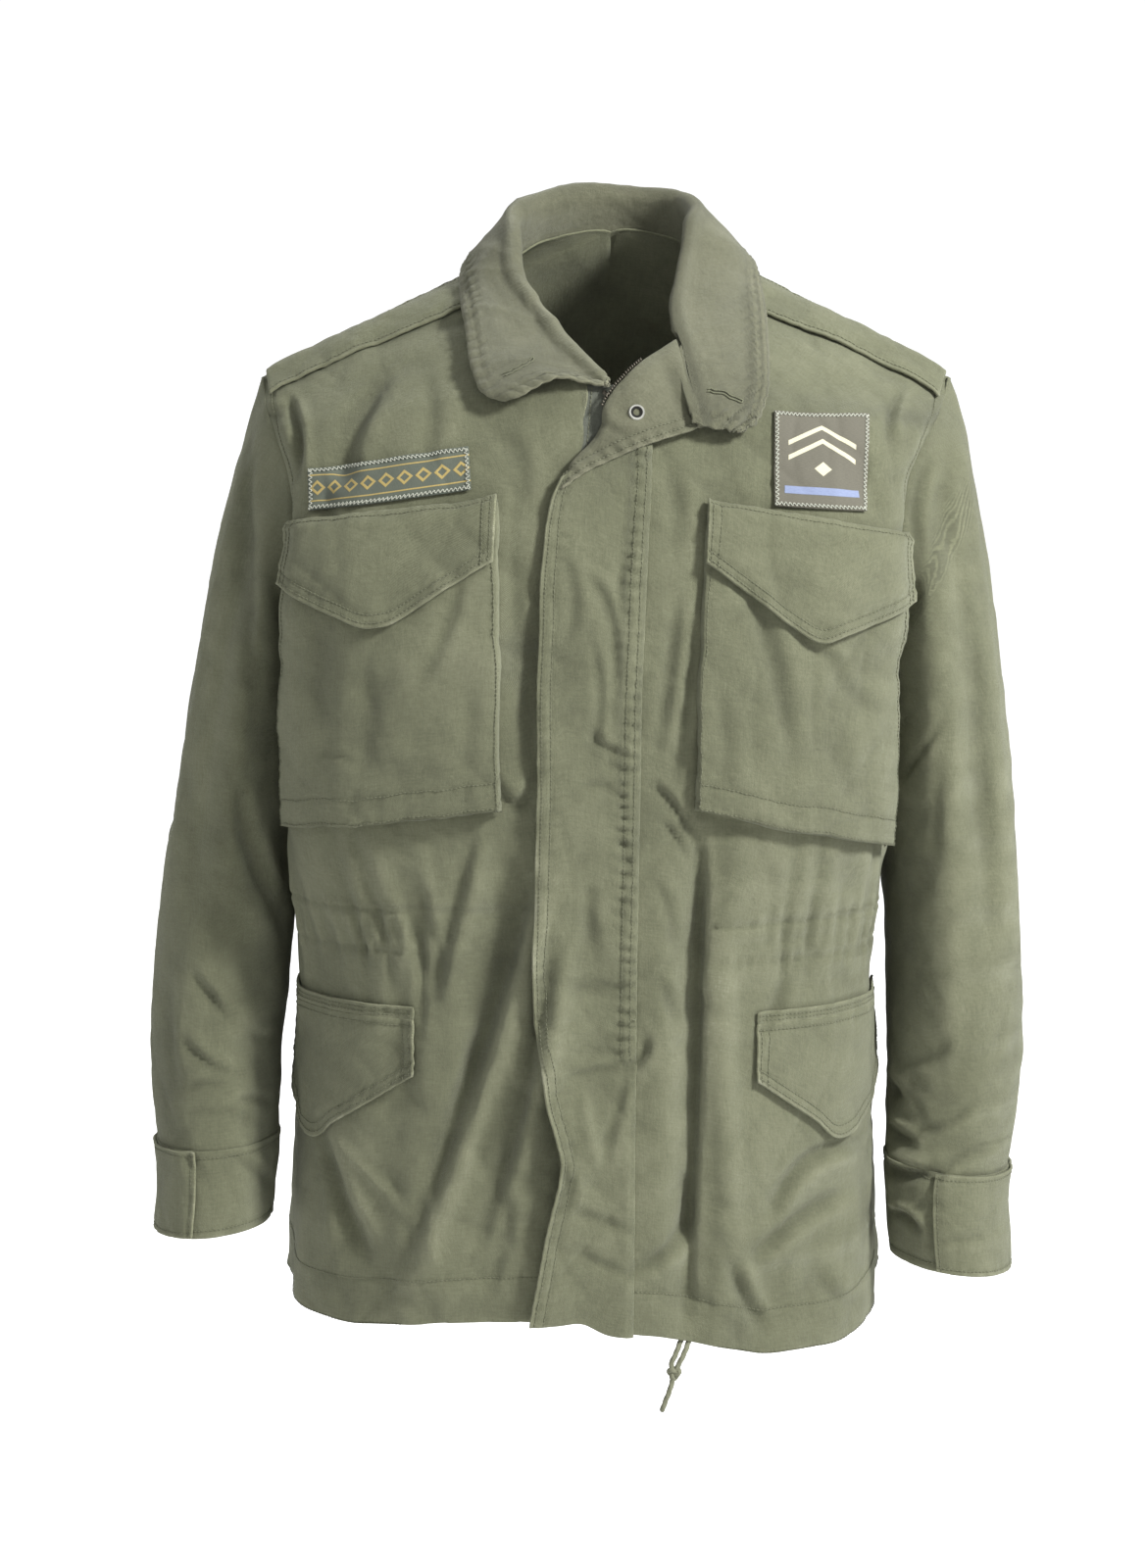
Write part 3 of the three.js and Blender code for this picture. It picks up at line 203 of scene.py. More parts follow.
def read_net(field, rows, columns):
    """Values of a net at fractional rows and columns, by straight blending."""
    i = np.clip(rows.astype(int), 0, field.shape[0] - 2)
    j = np.clip(columns.astype(int), 0, field.shape[1] - 2)
    f = (rows - i)[:, None]
    g = (columns - j)[:, None]
    low = field[i, j] * (1 - g) + field[i, j + 1] * g
    high = field[i + 1, j] * (1 - g) + field[i + 1, j + 1] * g
    return low * (1 - f) + high * f


BASE = 1000


class Cloth:
    """A fine net of points with rows going up and columns to the right, seen from outside.
    Its heights are counted from 1000 mm under the frame's origin."""

    def __init__(self, points, closed=False):
        self.points, self.closed = points, closed
        self.measure()

    def measure(self):
        """Outward directions, and each point's way along the cloth to the four edges."""
        p = self.points
        if self.closed:
            p = np.concatenate([p[:, -1:], p, p[:, :1]], axis=1)
        out = unit(np.cross(np.gradient(p, axis=1), np.gradient(p, axis=0)))
        self.out = out[:, 1:-1] if self.closed else out
        across = np.linalg.norm(np.diff(self.points, axis=1), axis=-1)
        up = np.linalg.norm(np.diff(self.points, axis=0), axis=-1)
        start = np.pad(np.cumsum(across, axis=1), ((0, 0), (1, 0)))
        low = np.pad(np.cumsum(up, axis=0), ((1, 0), (0, 0)))
        self.way = {"start": start, "end": start[:, -1:] - start,
                    "low": low, "top": low[-1:] - low, "height": self.points[..., 2] + BASE}

    def move(self, rise):
        """Moves every point outwards by its rise."""
        self.points = self.points + self.out * rise[..., None]
        self.measure()

    def round_corner(self, side, radius):
        """Rounds the low corner at the start or the end edge. Points within the radius of
        both edges go from a square onto a disc: a = a sqrt(1 - b^2 / 2), and b alike."""
        across, up = self.way[side], self.way["low"]
        a, b = np.clip(1 - across / radius, 0, 1), np.clip(1 - up / radius, 0, 1)
        far_a = radius * (a - a * np.sqrt(1 - b * b / 2))
        far_b = radius * (b - b * np.sqrt(1 - a * a / 2))
        rows, columns = np.indices(across.shape).astype(float)
        rows += far_b / np.gradient(up, axis=0)
        columns += far_a / np.gradient(across, axis=1)
        shape = self.points.shape
        self.points = read_net(self.points, rows.ravel(), columns.ravel()).reshape(shape)
        self.measure()


def cloth_of(name, cell, closed=False, rows=(), columns=()):
    """A net of the frame as fine cloth."""
    across = refine(nets[name], 1, cell, closed, columns)
    return Cloth(refine(across, 0, cell, False, rows), closed)


# %% [markdown]
# ## Where the folds are
# Folds are easiest to place from where they are seen. The camera stands 3.6 m in front of the
# jacket and looks down by ten degrees. Each point of the cloth gets a place in the picture
# plane, in millimetres from its middle. The folds of the front were picked on the picture, so
# they are written in its pixels, and one scale turns those into millimetres. The back
# and the sleeves' hidden sides have lists of their own in millimetres, seen square from behind.

# %% The view from the front and from behind
EYE = np.array([-19.3, -3545.3, 268.1])
DISTANCE = 3600
LOOKS_DOWN = np.radians(10)
AHEAD = np.array([0, np.cos(LOOKS_DOWN), -np.sin(LOOKS_DOWN)])
UPWARD = np.array([0, np.sin(LOOKS_DOWN), np.cos(LOOKS_DOWN)])
FACING = 0.45


def seen(points):
    """Places in the picture plane: the distance times sideways or upward, over the depth."""
    ray = points - EYE
    plane = np.stack([ray[..., 0], ray @ UPWARD], axis=-1)
    return DISTANCE * plane / (ray @ AHEAD)[..., None]


def seen_behind(points):
    """Places seen square from behind: the wearer's left is then on the left."""
    return np.stack([-points[..., 0], points[..., 2]], axis=-1)


def fold_rise(places, folds, depth=1.0):
    """Height of a list of folds. Each is a bent line x1 y1, x2 y2, x3 y3 with a half width.
    Its section is deep exp(-r^2), with a softer lip of the other sign beside it. Along the
    line it fades by 0.75 |2 t - 1|^3 towards both ends."""
    rise = np.zeros(places.shape[:-1])
    for x1, y1, x2, y2, x3, y3, wide, deep, lip in folds:
        t = np.linspace(0, 1, 9)[:, None]
        bend = 2 * np.array([x2, y2]) - (np.array([x1, y1]) + np.array([x3, y3])) / 2
        line = ((1 - t) ** 2 * np.array([x1, y1]) + 2 * t * (1 - t) * bend
                + t * t * np.array([x3, y3]))
        low, high = line.min(axis=0) - 4 * wide, line.max(axis=0) + 4 * wide
        near = np.all((places > low) & (places < high), axis=-1)
        if not near.any():
            continue
        spot = places[near][:, None]
        a, d = line[:-1], np.diff(line, axis=0)
        share = np.clip(((spot - a) * d).sum(-1) / (d * d).sum(-1), 0, 1)
        gap = spot - a - share[..., None] * d
        off = np.linalg.norm(gap, axis=-1)
        best = off.argmin(axis=1)
        pick = np.arange(len(best))
        side = np.sign(d[best, 0] * gap[pick, best, 1] - d[best, 1] * gap[pick, best, 0])
        along = (best + share[pick, best]) / len(d)
        taper = 1 - 0.75 * np.abs(2 * along - 1) ** 3
        r = off[pick, best] / wide
        beside = np.exp(-((side * r - 1.75) / 1.15) ** 2) * lip
        rise[near] += deep * taper * (np.exp(-r * r) - beside)
    return rise * depth


WAVES, CREASES = 28, 9


def rumple(points, size, seed):
    """Soft unevenness of used cloth: a sum of waves of random direction and length."""
    draw = np.random.default_rng(seed)
    total = np.zeros(points.shape[:-1])
    for _ in range(WAVES):
        way = unit(draw.normal(size=3) * np.array([1, 1, 0.6]))
        length = draw.uniform(28, 95)
        total += np.sin(points @ way * 2 * np.pi / length + draw.uniform(0, 7)) * length / 60
    return total * size / 5


def crinkle(points, size, seed):
    """Thin bent creases: each is (1 - |sin phase|)^5 of a warped wave, shown in patches."""
    draw = np.random.default_rng(seed)
    total = np.zeros(points.shape[:-1])
    for _ in range(CREASES):
        way, bend, patch = unit(draw.normal(size=(3, 3)))
        length = draw.uniform(38, 80)
        phase = points @ way * np.pi / length + 1.3 * np.sin(points @ bend / 33 + length)
        shown = smooth(0.35 + 0.9 * np.sin(points @ patch / 24 + 3 * length))
        total -= (1 - np.abs(np.sin(phase))) ** 5 * shown
    return total * size


# %% From pixels of the picture to millimetres
PICTURE_MIDDLE = (584, 800)
PICTURE_TALL = 1600
PIXEL = 0.69
WIDE_FOLD = 8
NARROWED = (0.72, 0.85)
AS_PICKED = (1, 1)


def picked(folds, narrow=NARROWED):
    """Folds picked on the picture, in its pixels, as lines in millimetres from its middle:
    x = 0.69 (h - 584), y = 0.69 (800 - k). Shade spreads wider than the trough that
    throws it, so the half width of a trough can be narrowed, by more where it is over 8 mm."""
    found = []
    for *bend, wide, deep, lip in folds:
        x = [round((h - PICTURE_MIDDLE[0]) * PIXEL) for h in bend[0::2]]
        y = [round((PICTURE_MIDDLE[1] - k) * PIXEL) for k in bend[1::2]]
        wide = round(wide * PIXEL, 1)
        if deep < 0:
            wide = round(wide * narrow[0 if wide > WIDE_FOLD else 1], 1)
        found.append((x[0], y[0], x[1], y[1], x[2], y[2], wide, deep, lip))
    return found


def bump(x, y, wide, deep):
    """The round mark of a snap under the cloth, as a fold of 2 mm length."""
    return (x - 1, y, x, y, x + 1, y, wide, deep, 0.6)


# %% Folds of the front, in pixels of the picture
# A row is h1 k1, h2 k2, h3 k3 and half width in pixels, depth in millimetres, share of the lip.
BODY = picked([
    (538, 905, 497, 1050, 412, 1290, 15, -6.5, 0.8),
    (562, 965, 540, 1090, 488, 1270, 13, -4.5, 0.6), (432, 915, 431, 980, 429, 1058, 6, -2.2, 0.5),
    (482, 850, 462, 930, 441, 1020, 12, -3.5, 0.5), (326, 1150, 345, 1215, 372, 1276, 12, -5, 0.6),
    (342, 1158, 376, 1196, 416, 1246, 4, 1.3, 0), (437, 1195, 438, 1245, 446, 1296, 5, 1.6, 0),
    (300, 1180, 305, 1240, 300, 1300, 11, 2.5, 0), (520, 1220, 515, 1260, 500, 1320, 9, -2.2, 0.4),
    (505, 800, 528, 822, 546, 792, 8, -3, 0.5), (548, 610, 538, 710, 545, 790, 13, -3, 0.3),
    (390, 385, 362, 430, 345, 482, 15, -3.6, 0.4), (430, 380, 440, 430, 430, 470, 14, -2, 0.3),
    (296, 408, 304, 444, 303, 486, 6, -4.2, 0.5), (276, 470, 290, 500, 296, 520, 5, -2, 0.4),
    (520, 560, 528, 640, 520, 700, 12, -1.8, 0.3), (505, 440, 530, 470, 528, 520, 14, -2, 0.3),
    (597, 590, 624, 640, 621, 742, 7.8, -2.3, 0.4), (604, 660, 611, 715, 603, 768, 6.8, -1.7, 0.4),
    (603, 748, 616, 762, 634, 768, 5.8, -1.7, 0.4), (596, 806, 612, 803, 632, 812, 6.5, -1.6, 0.3),
    (574, 570, 586, 610, 580, 650, 8, -1.6, 0.4), (640, 565, 632, 600, 640, 640, 6, -1.6, 0.4),
    (604, 905, 600, 930, 606, 975, 9, -2.2, 0.2), (572, 1006, 606, 1012, 642, 1008, 13, -2, 0.2),
    (583, 1100, 605, 1096, 633, 1088, 6.1, -1.8, 0.4),
    (656, 1056, 655, 1078, 632, 1096, 6, -2.6, 0.5),
    (641, 1100, 626, 1140, 614, 1196, 7.1, -1.9, 0.4), (596, 1112, 600, 1150, 610, 1190, 8, 2.2, 0),
    (582, 1238, 612, 1246, 652, 1262, 7.8, -1.6, 0.3),
    (700, 1205, 692, 1262, 640, 1300, 8, -3.4, 0.5),
    (590, 1275, 610, 1290, 640, 1300, 7.8, -1.1, 0.3),
    (570, 1190, 580, 1215, 566, 1240, 8, -2.2, 0.4), (630, 850, 640, 880, 634, 900, 6, -1.6, 0.4),
    (690, 610, 682, 690, 671, 762, 8, -2.8, 0.5), (707, 640, 700, 720, 690, 792, 7, -2.2, 0.4),
    (668, 800, 690, 826, 708, 856, 5, -2.8, 0.5), (676, 838, 692, 860, 704, 884, 5, -2, 0.5),
    (668, 900, 682, 930, 690, 970, 7, -2, 0.4), (671, 1000, 684, 1020, 690, 1048, 6, -2.2, 0.5),
    (712, 850, 713, 1010, 700, 1345, 7.1, -3.4, 0.9), (730, 900, 738, 1060, 752, 1300, 14, 3, 0),
    (872, 1168, 820, 1188, 788, 1236, 9, -4.6, 0.6),
    (862, 1216, 812, 1246, 768, 1284, 9, -3.6, 0.6), (748, 1290, 760, 1322, 778, 1352, 8, -4, 0.6),
    (830, 1290, 850, 1320, 880, 1330, 10, -2, 0.4), (880, 1170, 884, 1220, 888, 1290, 10, -2, 0.3),
    (680, 470, 690, 520, 684, 570, 14, -2.2, 0.3), (920, 396, 908, 424, 912, 450, 6, -2.6, 0.5),
    (780, 880, 786, 920, 770, 1000, 10, -1.6, 0.3), (800, 1000, 790, 1030, 776, 1058, 7, -1.6, 0.4),
])
POCKETS = picked([
    (466, 584, 456, 634, 424, 700, 8, -1.8, 0.4), (386, 690, 372, 730, 380, 790, 16, -2, 0.2),
    (326, 770, 344, 771, 362, 778, 3, -1, 0.4), (330, 640, 322, 700, 330, 750, 14, -1.4, 0.2),
    (440, 600, 424, 612, 404, 640, 8, -1.2, 0.3), (472, 700, 478, 740, 470, 790, 10, -1.2, 0.3),
    (746, 588, 782, 650, 808, 790, 10, -2.6, 0.4), (836, 646, 862, 700, 898, 724, 9, -1.8, 0.4),
    (812, 640, 832, 664, 866, 680, 6, -1.4, 0.4), (732, 700, 740, 760, 736, 800, 8, -1.4, 0.3),
    (850, 760, 860, 790, 880, 830, 12, -1.6, 0.3), (888, 760, 884, 810, 892, 850, 9, -1.2, 0.3),
], AS_PICKED)
SLEEVE_RIGHT = picked([
    (254, 400, 248, 540, 264, 760, 14, -3.5, 0.5), (228, 560, 216, 720, 206, 900, 14, 1.8, 0),
    (242, 800, 258, 870, 292, 946, 9, -4.5, 0.6), (196, 990, 214, 1018, 240, 1048, 6, -2.8, 0.6),
    (186, 1058, 208, 1082, 240, 1096, 6, -3, 0.6), (188, 1116, 210, 1106, 236, 1112, 6, -2.4, 0.5),
    (240, 1126, 262, 1120, 286, 1128, 5, -2, 0.5), (186, 1140, 220, 1134, 262, 1142, 5, -1.6, 0.5),
    (250, 1046, 262, 1058, 286, 1060, 6, -1.8, 0.5),
    (232, 1180, 256, 1192, 286, 1210, 7, -1.8, 0.4), (262, 460, 252, 500, 256, 560, 6, -2, 0.4),
    (174, 1000, 172, 1060, 180, 1110, 7, -1.6, 0.4),
])
SLEEVE_LEFT = picked([
    (952, 470, 936, 506, 936, 560, 6, -3.4, 0.5), (934, 398, 924, 424, 926, 452, 5, -2, 0.5),
    (976, 420, 962, 500, 958, 600, 12, -2, 0.4), (962, 738, 944, 764, 922, 792, 4, -1.8, 0.5),
    (966, 700, 958, 800, 950, 900, 12, -2, 0.3), (994, 640, 1004, 800, 1010, 960, 14, -2, 0.3),
    (978, 900, 972, 1000, 968, 1080, 13, 2, 0), (886, 1088, 904, 1104, 918, 1122, 8, -5.5, 0.7),
    (898, 1140, 914, 1156, 932, 1166, 6, -5, 0.8), (896, 1178, 914, 1196, 952, 1196, 8, -5.5, 0.8),
    (904, 1236, 922, 1240, 936, 1256, 5, -4, 0.8), (992, 1126, 966, 1146, 928, 1158, 6, -2.6, 0.6),
    (1010, 1172, 976, 1184, 950, 1206, 6, -2.4, 0.6),
    (968, 1060, 950, 1080, 920, 1084, 8, -2.2, 0.5),
    (890, 1206, 900, 1222, 902, 1240, 5, -2.6, 0.5),
    (1000, 1262, 980, 1266, 950, 1270, 5, -1.4, 0.4),
])
COLLAR = picked([
    (534, 250, 518, 258, 500, 276, 6, -2, 0.4), (526, 300, 510, 306, 488, 316, 7, -1.8, 0.4),
    (602, 370, 584, 372, 572, 352, 6, -2, 0.4), (566, 370, 560, 352, 572, 336, 7, -1.8, 0.4),
    (540, 330, 556, 345, 566, 372, 8, -1.6, 0.4), (735, 250, 748, 290, 752, 350, 12, -1.6, 0.3),
    (700, 300, 712, 330, 720, 370, 9, -1.2, 0.3), (720, 392, 738, 404, 758, 412, 4, -1.2, 0.5),
], AS_PICKED)
LAPEL = picked([
    (640, 388, 632, 410, 640, 432, 9, -1.4, 0.3), (676, 360, 684, 386, 692, 420, 7, -1.2, 0.3),
    (612, 430, 630, 440, 652, 444, 6, -1.2, 0.4),
], AS_PICKED)
SNAP_BUMPS = [bump(3, 168, 4.2, 0.8), bump(1, 43, 4.2, 0.7), bump(-2, -79, 4.2, 0.8),
              bump(-2, -180, 4.2, 0.6)]
FLAP_BUMPS = [bump(168, 137, 4.4, 0.8), bump(-140, 127, 4.4, 0.5), bump(189, -226, 4.2, 0.7),
              bump(-167, -222, 4.2, 0.5)]
print("folds of the front:", sum(map(len, (BODY, POCKETS, SLEEVE_RIGHT, SLEEVE_LEFT, COLLAR,
                                           LAPEL))))

# %% Folds of the back and of the sleeves' hidden sides, in millimetres seen from behind
BACK_FOLDS = [
    (-150, -215, -135, -300, -142, -400, 11, -5, 0.5), (-186, -250, -160, -330, -165, -390, 9, -3.5, 0.5),
    (142, -210, 130, -300, 138, -390, 11, -4.5, 0.5), (178, -240, 158, -330, 160, -385, 8, -3.5, 0.5),
    (-60, -60, -78, -120, -70, -200, 13, -2.4, 0.4), (55, -70, 66, -130, 60, -190, 12, -2, 0.4),
    (-8, -80, 4, -170, -6, -300, 15, -2.2, 0.3), (-200, -120, -160, -150, -120, -160, 9, -2.6, 0.5),
    (196, -118, 160, -150, 128, -166, 9, -2.8, 0.5), (-40, -330, -30, -380, -34, -425, 10, -2.6, 0.4),
    (38, -320, 30, -370, 34, -430, 9, -2.2, 0.4), (-104, -500, -112, -600, -100, -700, 13, -4.5, 0.6),
    (-56, -480, -46, -580, -54, -690, 11, -3.2, 0.5), (4, -500, 12, -600, 2, -700, 14, -4, 0.5),
    (70, -490, 82, -590, 74, -700, 11, -3.4, 0.6), (126, -500, 134, -600, 120, -690, 13, -4.2, 0.5),
    (-170, -520, -176, -600, -168, -690, 10, -3, 0.5), (176, -520, 180, -610, 172, -690, 9, -2.6, 0.5),
    (-150, -470, -120, -500, -104, -540, 8, -2.6, 0.6), (150, -470, 128, -505, 116, -560, 8, -2.4, 0.6),
]
SLEEVE_BACK_FOLDS = [
    (236, -150, 246, -250, 250, -380, 11, -3, 0.4), (262, -180, 268, -280, 276, -400, 10, 1.8, 0),
    (214, -330, 240, -352, 272, -356, 8, -4.5, 0.6), (216, -372, 244, -388, 286, -388, 7, -4, 0.6),
    (218, -412, 240, -428, 270, -440, 8, -4.5, 0.6), (222, -452, 250, -462, 290, -458, 7, -3.2, 0.6),
    (230, -500, 252, -512, 284, -506, 6, -2.6, 0.5), (232, -548, 256, -552, 280, -566, 6, -2.4, 0.5),
    (228, -590, 250, -584, 276, -592, 5, -2, 0.5), (296, -420, 302, -480, 300, -540, 8, -2, 0.4),
    (-236, -160, -244, -250, -246, -370, 11, -3, 0.4), (-262, -190, -270, -300, -272, -400, 10, 1.8, 0),
    (-204, -326, -232, -346, -262, -344, 8, -4.2, 0.6), (-206, -368, -236, -382, -276, -386, 7, -4.2, 0.6),
    (-208, -410, -232, -430, -262, -434, 8, -4.5, 0.6), (-210, -470, -238, -476, -280, -470, 7, -3, 0.6),
    (-212, -520, -238, -528, -270, -520, 6, -2.6, 0.5), (-214, -566, -240, -572, -262, -584, 6, -2.4, 0.5),
    (-284, -430, -288, -500, -284, -560, 8, -2, 0.4),
]


SOFT, FINE, THIN = 5, 9, 11


def worn_shape(cloth, front, behind, rough, depth=1.5):
    """Presses the folds into a cloth: each list acts only where the cloth faces its view.
    Three random draws of their own make the soft, the fine and the thin unevenness."""
    ahead = smooth(-(cloth.out @ AHEAD) / FACING)
    back = smooth(cloth.out[..., 1] / FACING)
    rise = rumple(cloth.points, rough, SOFT) + rumple(cloth.points * 2.6, rough * 0.3, FINE)
    rise += crinkle(cloth.points, 0.75 * rough, THIN)
    rise += ahead * fold_rise(seen(cloth.points), front, depth)
    rise += back * fold_rise(seen_behind(cloth.points), behind, 1.4)
    return rise


# %% [markdown]
# ## Sewing
# A line of lockstitch does three things that can be seen. It pulls a groove into the cloth, it
# gathers the cloth beside it into small puckers, and its thread lies on top in short dashes.
# The cloth between the line and a turned edge is doubled, so it stands a little proud. A seam
# is written as an edge and its distance from it, and serves both the cloth and the thread.

# %% Seams press into the cloth
WHOLE = 1e9


def seam(edge, inset, pucker=0.3, low=0, high=WHOLE, press=0.55):
    """A sewn line at a distance from one edge, between two distances along it."""
    return {"edge": edge, "inset": inset, "pucker": pucker, "low": low, "high": high,
            "press": press}


def along_edge(cloth, edge):
    """The way measured along an edge: up from the hem for a side, across for the others."""
    return cloth.way["low" if edge in ("start", "end") else "start"]


def seam_rise(cloth, seams, doubled=0.35):
    """Grooves, puckers and the raised rim of each seam. The puckers are waves whose length
    wanders, and they fade within a few millimetres of the line."""
    rise = np.zeros(cloth.points.shape[:2])
    for k, line in enumerate(seams):
        off = cloth.way[line["edge"]] - line["inset"]
        way = along_edge(cloth, line["edge"])
        inside = smooth((way - line["low"]) / 3 + 1) * smooth((line["high"] - way) / 3 + 1)
        wander = 1.6 * np.sin(way / 23 + k) + 1.1 * np.sin(way / 9.7 + 2 * k)
        waves = np.sin(way * 2 * np.pi / 9.5 + wander)
        strength = 0.6 + 0.4 * np.sin(way / 31 + 3 * k)
        rise -= line["press"] * np.exp(-(off / 1.6) ** 2) * inside
        rise += line["pucker"] * waves * strength * np.exp(-(off / 5.5) ** 2) * inside
        if line["inset"] < 12:
            rise += doubled * smooth(-off / 1.5) * inside
    return rise


# %% Thread along the seams
def seam_path(cloth, line):
    """Points and outward directions along a seam, and which of them belong to it."""
    field = cloth.way[line["edge"]]
    upright = line["edge"] in ("start", "end")
    lines = field if upright else field.T
    rising = line["edge"] in ("start", "low")
    steps = np.arange(lines.shape[1], dtype=float)
    spots = np.array([np.interp(line["inset"], row if rising else row[::-1],
                                steps if rising else steps[::-1]) for row in lines])
    count = np.arange(len(lines), dtype=float)
    rows, columns = (count, spots) if upright else (spots, count)
    way = read_net(along_edge(cloth, line["edge"])[..., None], rows, columns)[:, 0]
    keep = (way >= line["low"]) & (way <= line["high"])
    return (read_net(cloth.points, rows, columns)[keep],
            read_net(cloth.out, rows, columns)[keep])


def read_line(values, gone, at):
    """Points or directions of a line at some lengths along it."""
    return np.stack([np.interp(at, gone, values[:, n]) for n in range(3)], -1)


def stitches(path, out, pitch=3.0, long=2.3, thick=0.34, sink=0.05):
    """Short rounded dashes of thread along a path: five-sided tubes with closed ends."""
    gone = np.concatenate([[0], np.cumsum(np.linalg.norm(np.diff(path, axis=0), axis=1))])
    count = int(gone[-1] / pitch)
    if count < 1:
        return np.zeros((0, 3)), np.zeros((0, 4), int)
    at = (np.arange(count) + 0.5) * pitch
    middle = read_line(path, gone, at)
    ahead = unit(read_line(path, gone, at + 1) - read_line(path, gone, at - 1))
    normal = unit(read_line(out, gone, at))
    side = unit(np.cross(normal, ahead))
    ends = np.array([-0.5, -0.36, 0.36, 0.5])[:, None] * long
    girth = np.array([0.25, 1, 1, 0.25])[:, None] * thick
    turn = np.linspace(0, 2 * np.pi, 5, endpoint=False)[None]
    arch = np.array([-0.12, 0.05, 0.05, -0.12])[:, None] + thick - sink
    local = [np.broadcast_to(ends, (4, 5)), girth * np.cos(turn), girth * np.sin(turn) + arch]
    points = sum(axis[:, None, None] * place[None, ..., None]
                 for axis, place in zip((ahead, side, normal), local))
    points = (middle[:, None, None] + points).reshape(-1, 3)
    k = np.arange(5)
    ring = np.stack([k, (k + 1) % 5, (k + 1) % 5 + 5, k + 5], -1)
    one = np.concatenate([ring, ring + 5, ring + 10, [[4, 3, 2, 0], [15, 16, 17, 19]],
                          [[2, 1, 0, 0], [17, 18, 19, 19]]])
    return points, (one[None] + 20 * np.arange(count)[:, None, None]).reshape(-1, 4)


def joined(found):
    """Several rows of stitches as one list of points and one of faces."""
    shift = np.cumsum([0] + [len(points) for points, _ in found[:-1]])
    faces = np.concatenate([faces + first for (_, faces), first in zip(found, shift)])
    return np.concatenate([points for points, _ in found]), faces


# %% [markdown]
# ## From a net of points to a piece
# Cloth has a thickness, and an edge that is a little rounded. Each fine net is copied inwards
# by the cloth's thickness, and a narrow band runs round the edge from one side to the other,
# pushed out by a third of the thickness. The result is one closed mesh with no Solidify
# modifier, so the thickness follows the folds. The UV map is the way along the cloth in
# metres, so a weave keeps its scale wherever the cloth turns.

# %% A wall of cloth
made = {}


def boundary(numbers, closed):
    """The loops round a net: low edge to the right, end edge up, top back, start down."""
    if closed:
        return [numbers[0, :-1], numbers[-1, -2::-1]]
    return [np.concatenate([numbers[0], numbers[1:, -1], numbers[-1, -2::-1],
                            numbers[-2:0:-1, 0]])]


def mesh_object(name, points, faces, material, uv=None, values=None):
    """One smooth mesh object, from points in millimetres and faces as point numbers."""
    used, numbers = np.unique(faces, return_inverse=True)
    numbers = numbers.reshape(faces.shape)
    mesh = bpy.data.meshes.new(name)
    mesh.from_pydata((points[used] / 1000).tolist(), [], [
        list(dict.fromkeys(face)) for face in numbers.tolist()])
    mesh.polygons.foreach_set("use_smooth", np.ones(len(mesh.polygons), bool))
    if uv is not None:
        layer = mesh.uv_layers.new(name="UVMap")
        layer.data.foreach_set("uv", uv.reshape(-1).astype(np.float32))
    for key, value in (values or {}).items():
        layer = mesh.attributes.new(key, "FLOAT", "POINT")
        layer.data.foreach_set("value", value[used].astype(np.float32))
    mesh.materials.append(material)
    piece = bpy.data.objects.new(name, mesh)
    bpy.context.scene.collection.objects.link(piece)
    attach(piece, "root")
    return piece


def wall(name, cloths, numbers, loops, thick, material, wear):
    """Outer side, inner side and rounded edge bands of one or more nets, as one mesh.
    A band point is p - out x depth + away x push, with away = along x out."""
    points = np.concatenate([c.points.reshape(-1, 3) for c in cloths])
    out = np.concatenate([c.out.reshape(-1, 3) for c in cloths])
    count = len(points)
    parts, uvs = [], []
    for k, (cloth, grid) in enumerate(zip(cloths, numbers)):
        u, v = cloth.way["start"] / 1000 + 0.7 * k, cloth.way["low"] / 1000
        if cloth.closed:
            step = np.linalg.norm(cloth.points[:, 0] - cloth.points[:, -1], axis=-1) / 1000
            u = np.concatenate([u, u[:, -1:] + step[:, None]], axis=1)
            v = np.concatenate([v, v[:, :1]], axis=1)
        uv = np.stack([u, v], -1)
        for values, kept in ((grid, parts), (uv, uvs)):
            cell = np.stack([values[:-1, :-1], values[:-1, 1:], values[1:, 1:],
                             values[1:, :-1]], axis=2)
            cell = cell.reshape(-1, 4, *values.shape[2:])
            kept.append(cell)
            kept.append(cell[:, ::-1] + (count if kept is parts else 0))
    extra, values = [], [wear, wear]
    flat_uv = {}
    for k, grid in enumerate(numbers):
        inner = grid[:, :-1] if cloths[k].closed else grid
        uv = np.stack([cloths[k].way["start"], cloths[k].way["low"]], -1) / 1000
        flat_uv.update(zip(inner.ravel().tolist(), uv.reshape(-1, 2).tolist()))
    total = 2 * count
    for loop in loops:
        along = unit(points[np.roll(loop, -1)] - points[np.roll(loop, 1)])
        away = unit(np.cross(along, out[loop]))
        bands = [loop]
        for depth, push in ((0.22, 0.3), (0.78, 0.3)):
            extra.append(points[loop] - out[loop] * depth * thick + away * push * thick)
            values.append(wear[loop])
            bands.append(np.arange(total, total + len(loop)))
            total += len(loop)
        bands.append(loop + count)
        spots = np.array([flat_uv[n] for n in loop.tolist()])
        for a, b in zip(bands[:-1], bands[1:]):
            parts.append(np.stack([np.roll(a, -1), a, b, np.roll(b, -1)], -1))
            one = np.stack([np.roll(spots, -1, 0), spots, spots, np.roll(spots, -1, 0)], 1)
            uvs.append(one)
    every = np.concatenate([points, points - out * thick] + extra)
    # The wear attribute holds edge wear and the painted shade and highlight of the folds.
    return mesh_object(name, every, np.concatenate(parts), material, np.concatenate(uvs),
                       {"wear": np.concatenate(values)})


def edge_wear_and_fold_shade(cloth, rise, free):
    """Pale with real wear at free edges, with painted highlight on ridges and painted shade in
    troughs and seam grooves: 0.35 is plain cloth.
    """
    value = 0.35 + 0.2 * np.clip(rise / 2.6, -1.4, 1.2)
    rubbed = 0.75 + 0.25 * np.sin(cloth.points @ np.array([0.21, 0.13, 0.17]))
    for edge in free:
        value = value + 0.27 * rubbed * np.exp(-cloth.way[edge] / 2.0)
    return np.clip(value, 0, 1)


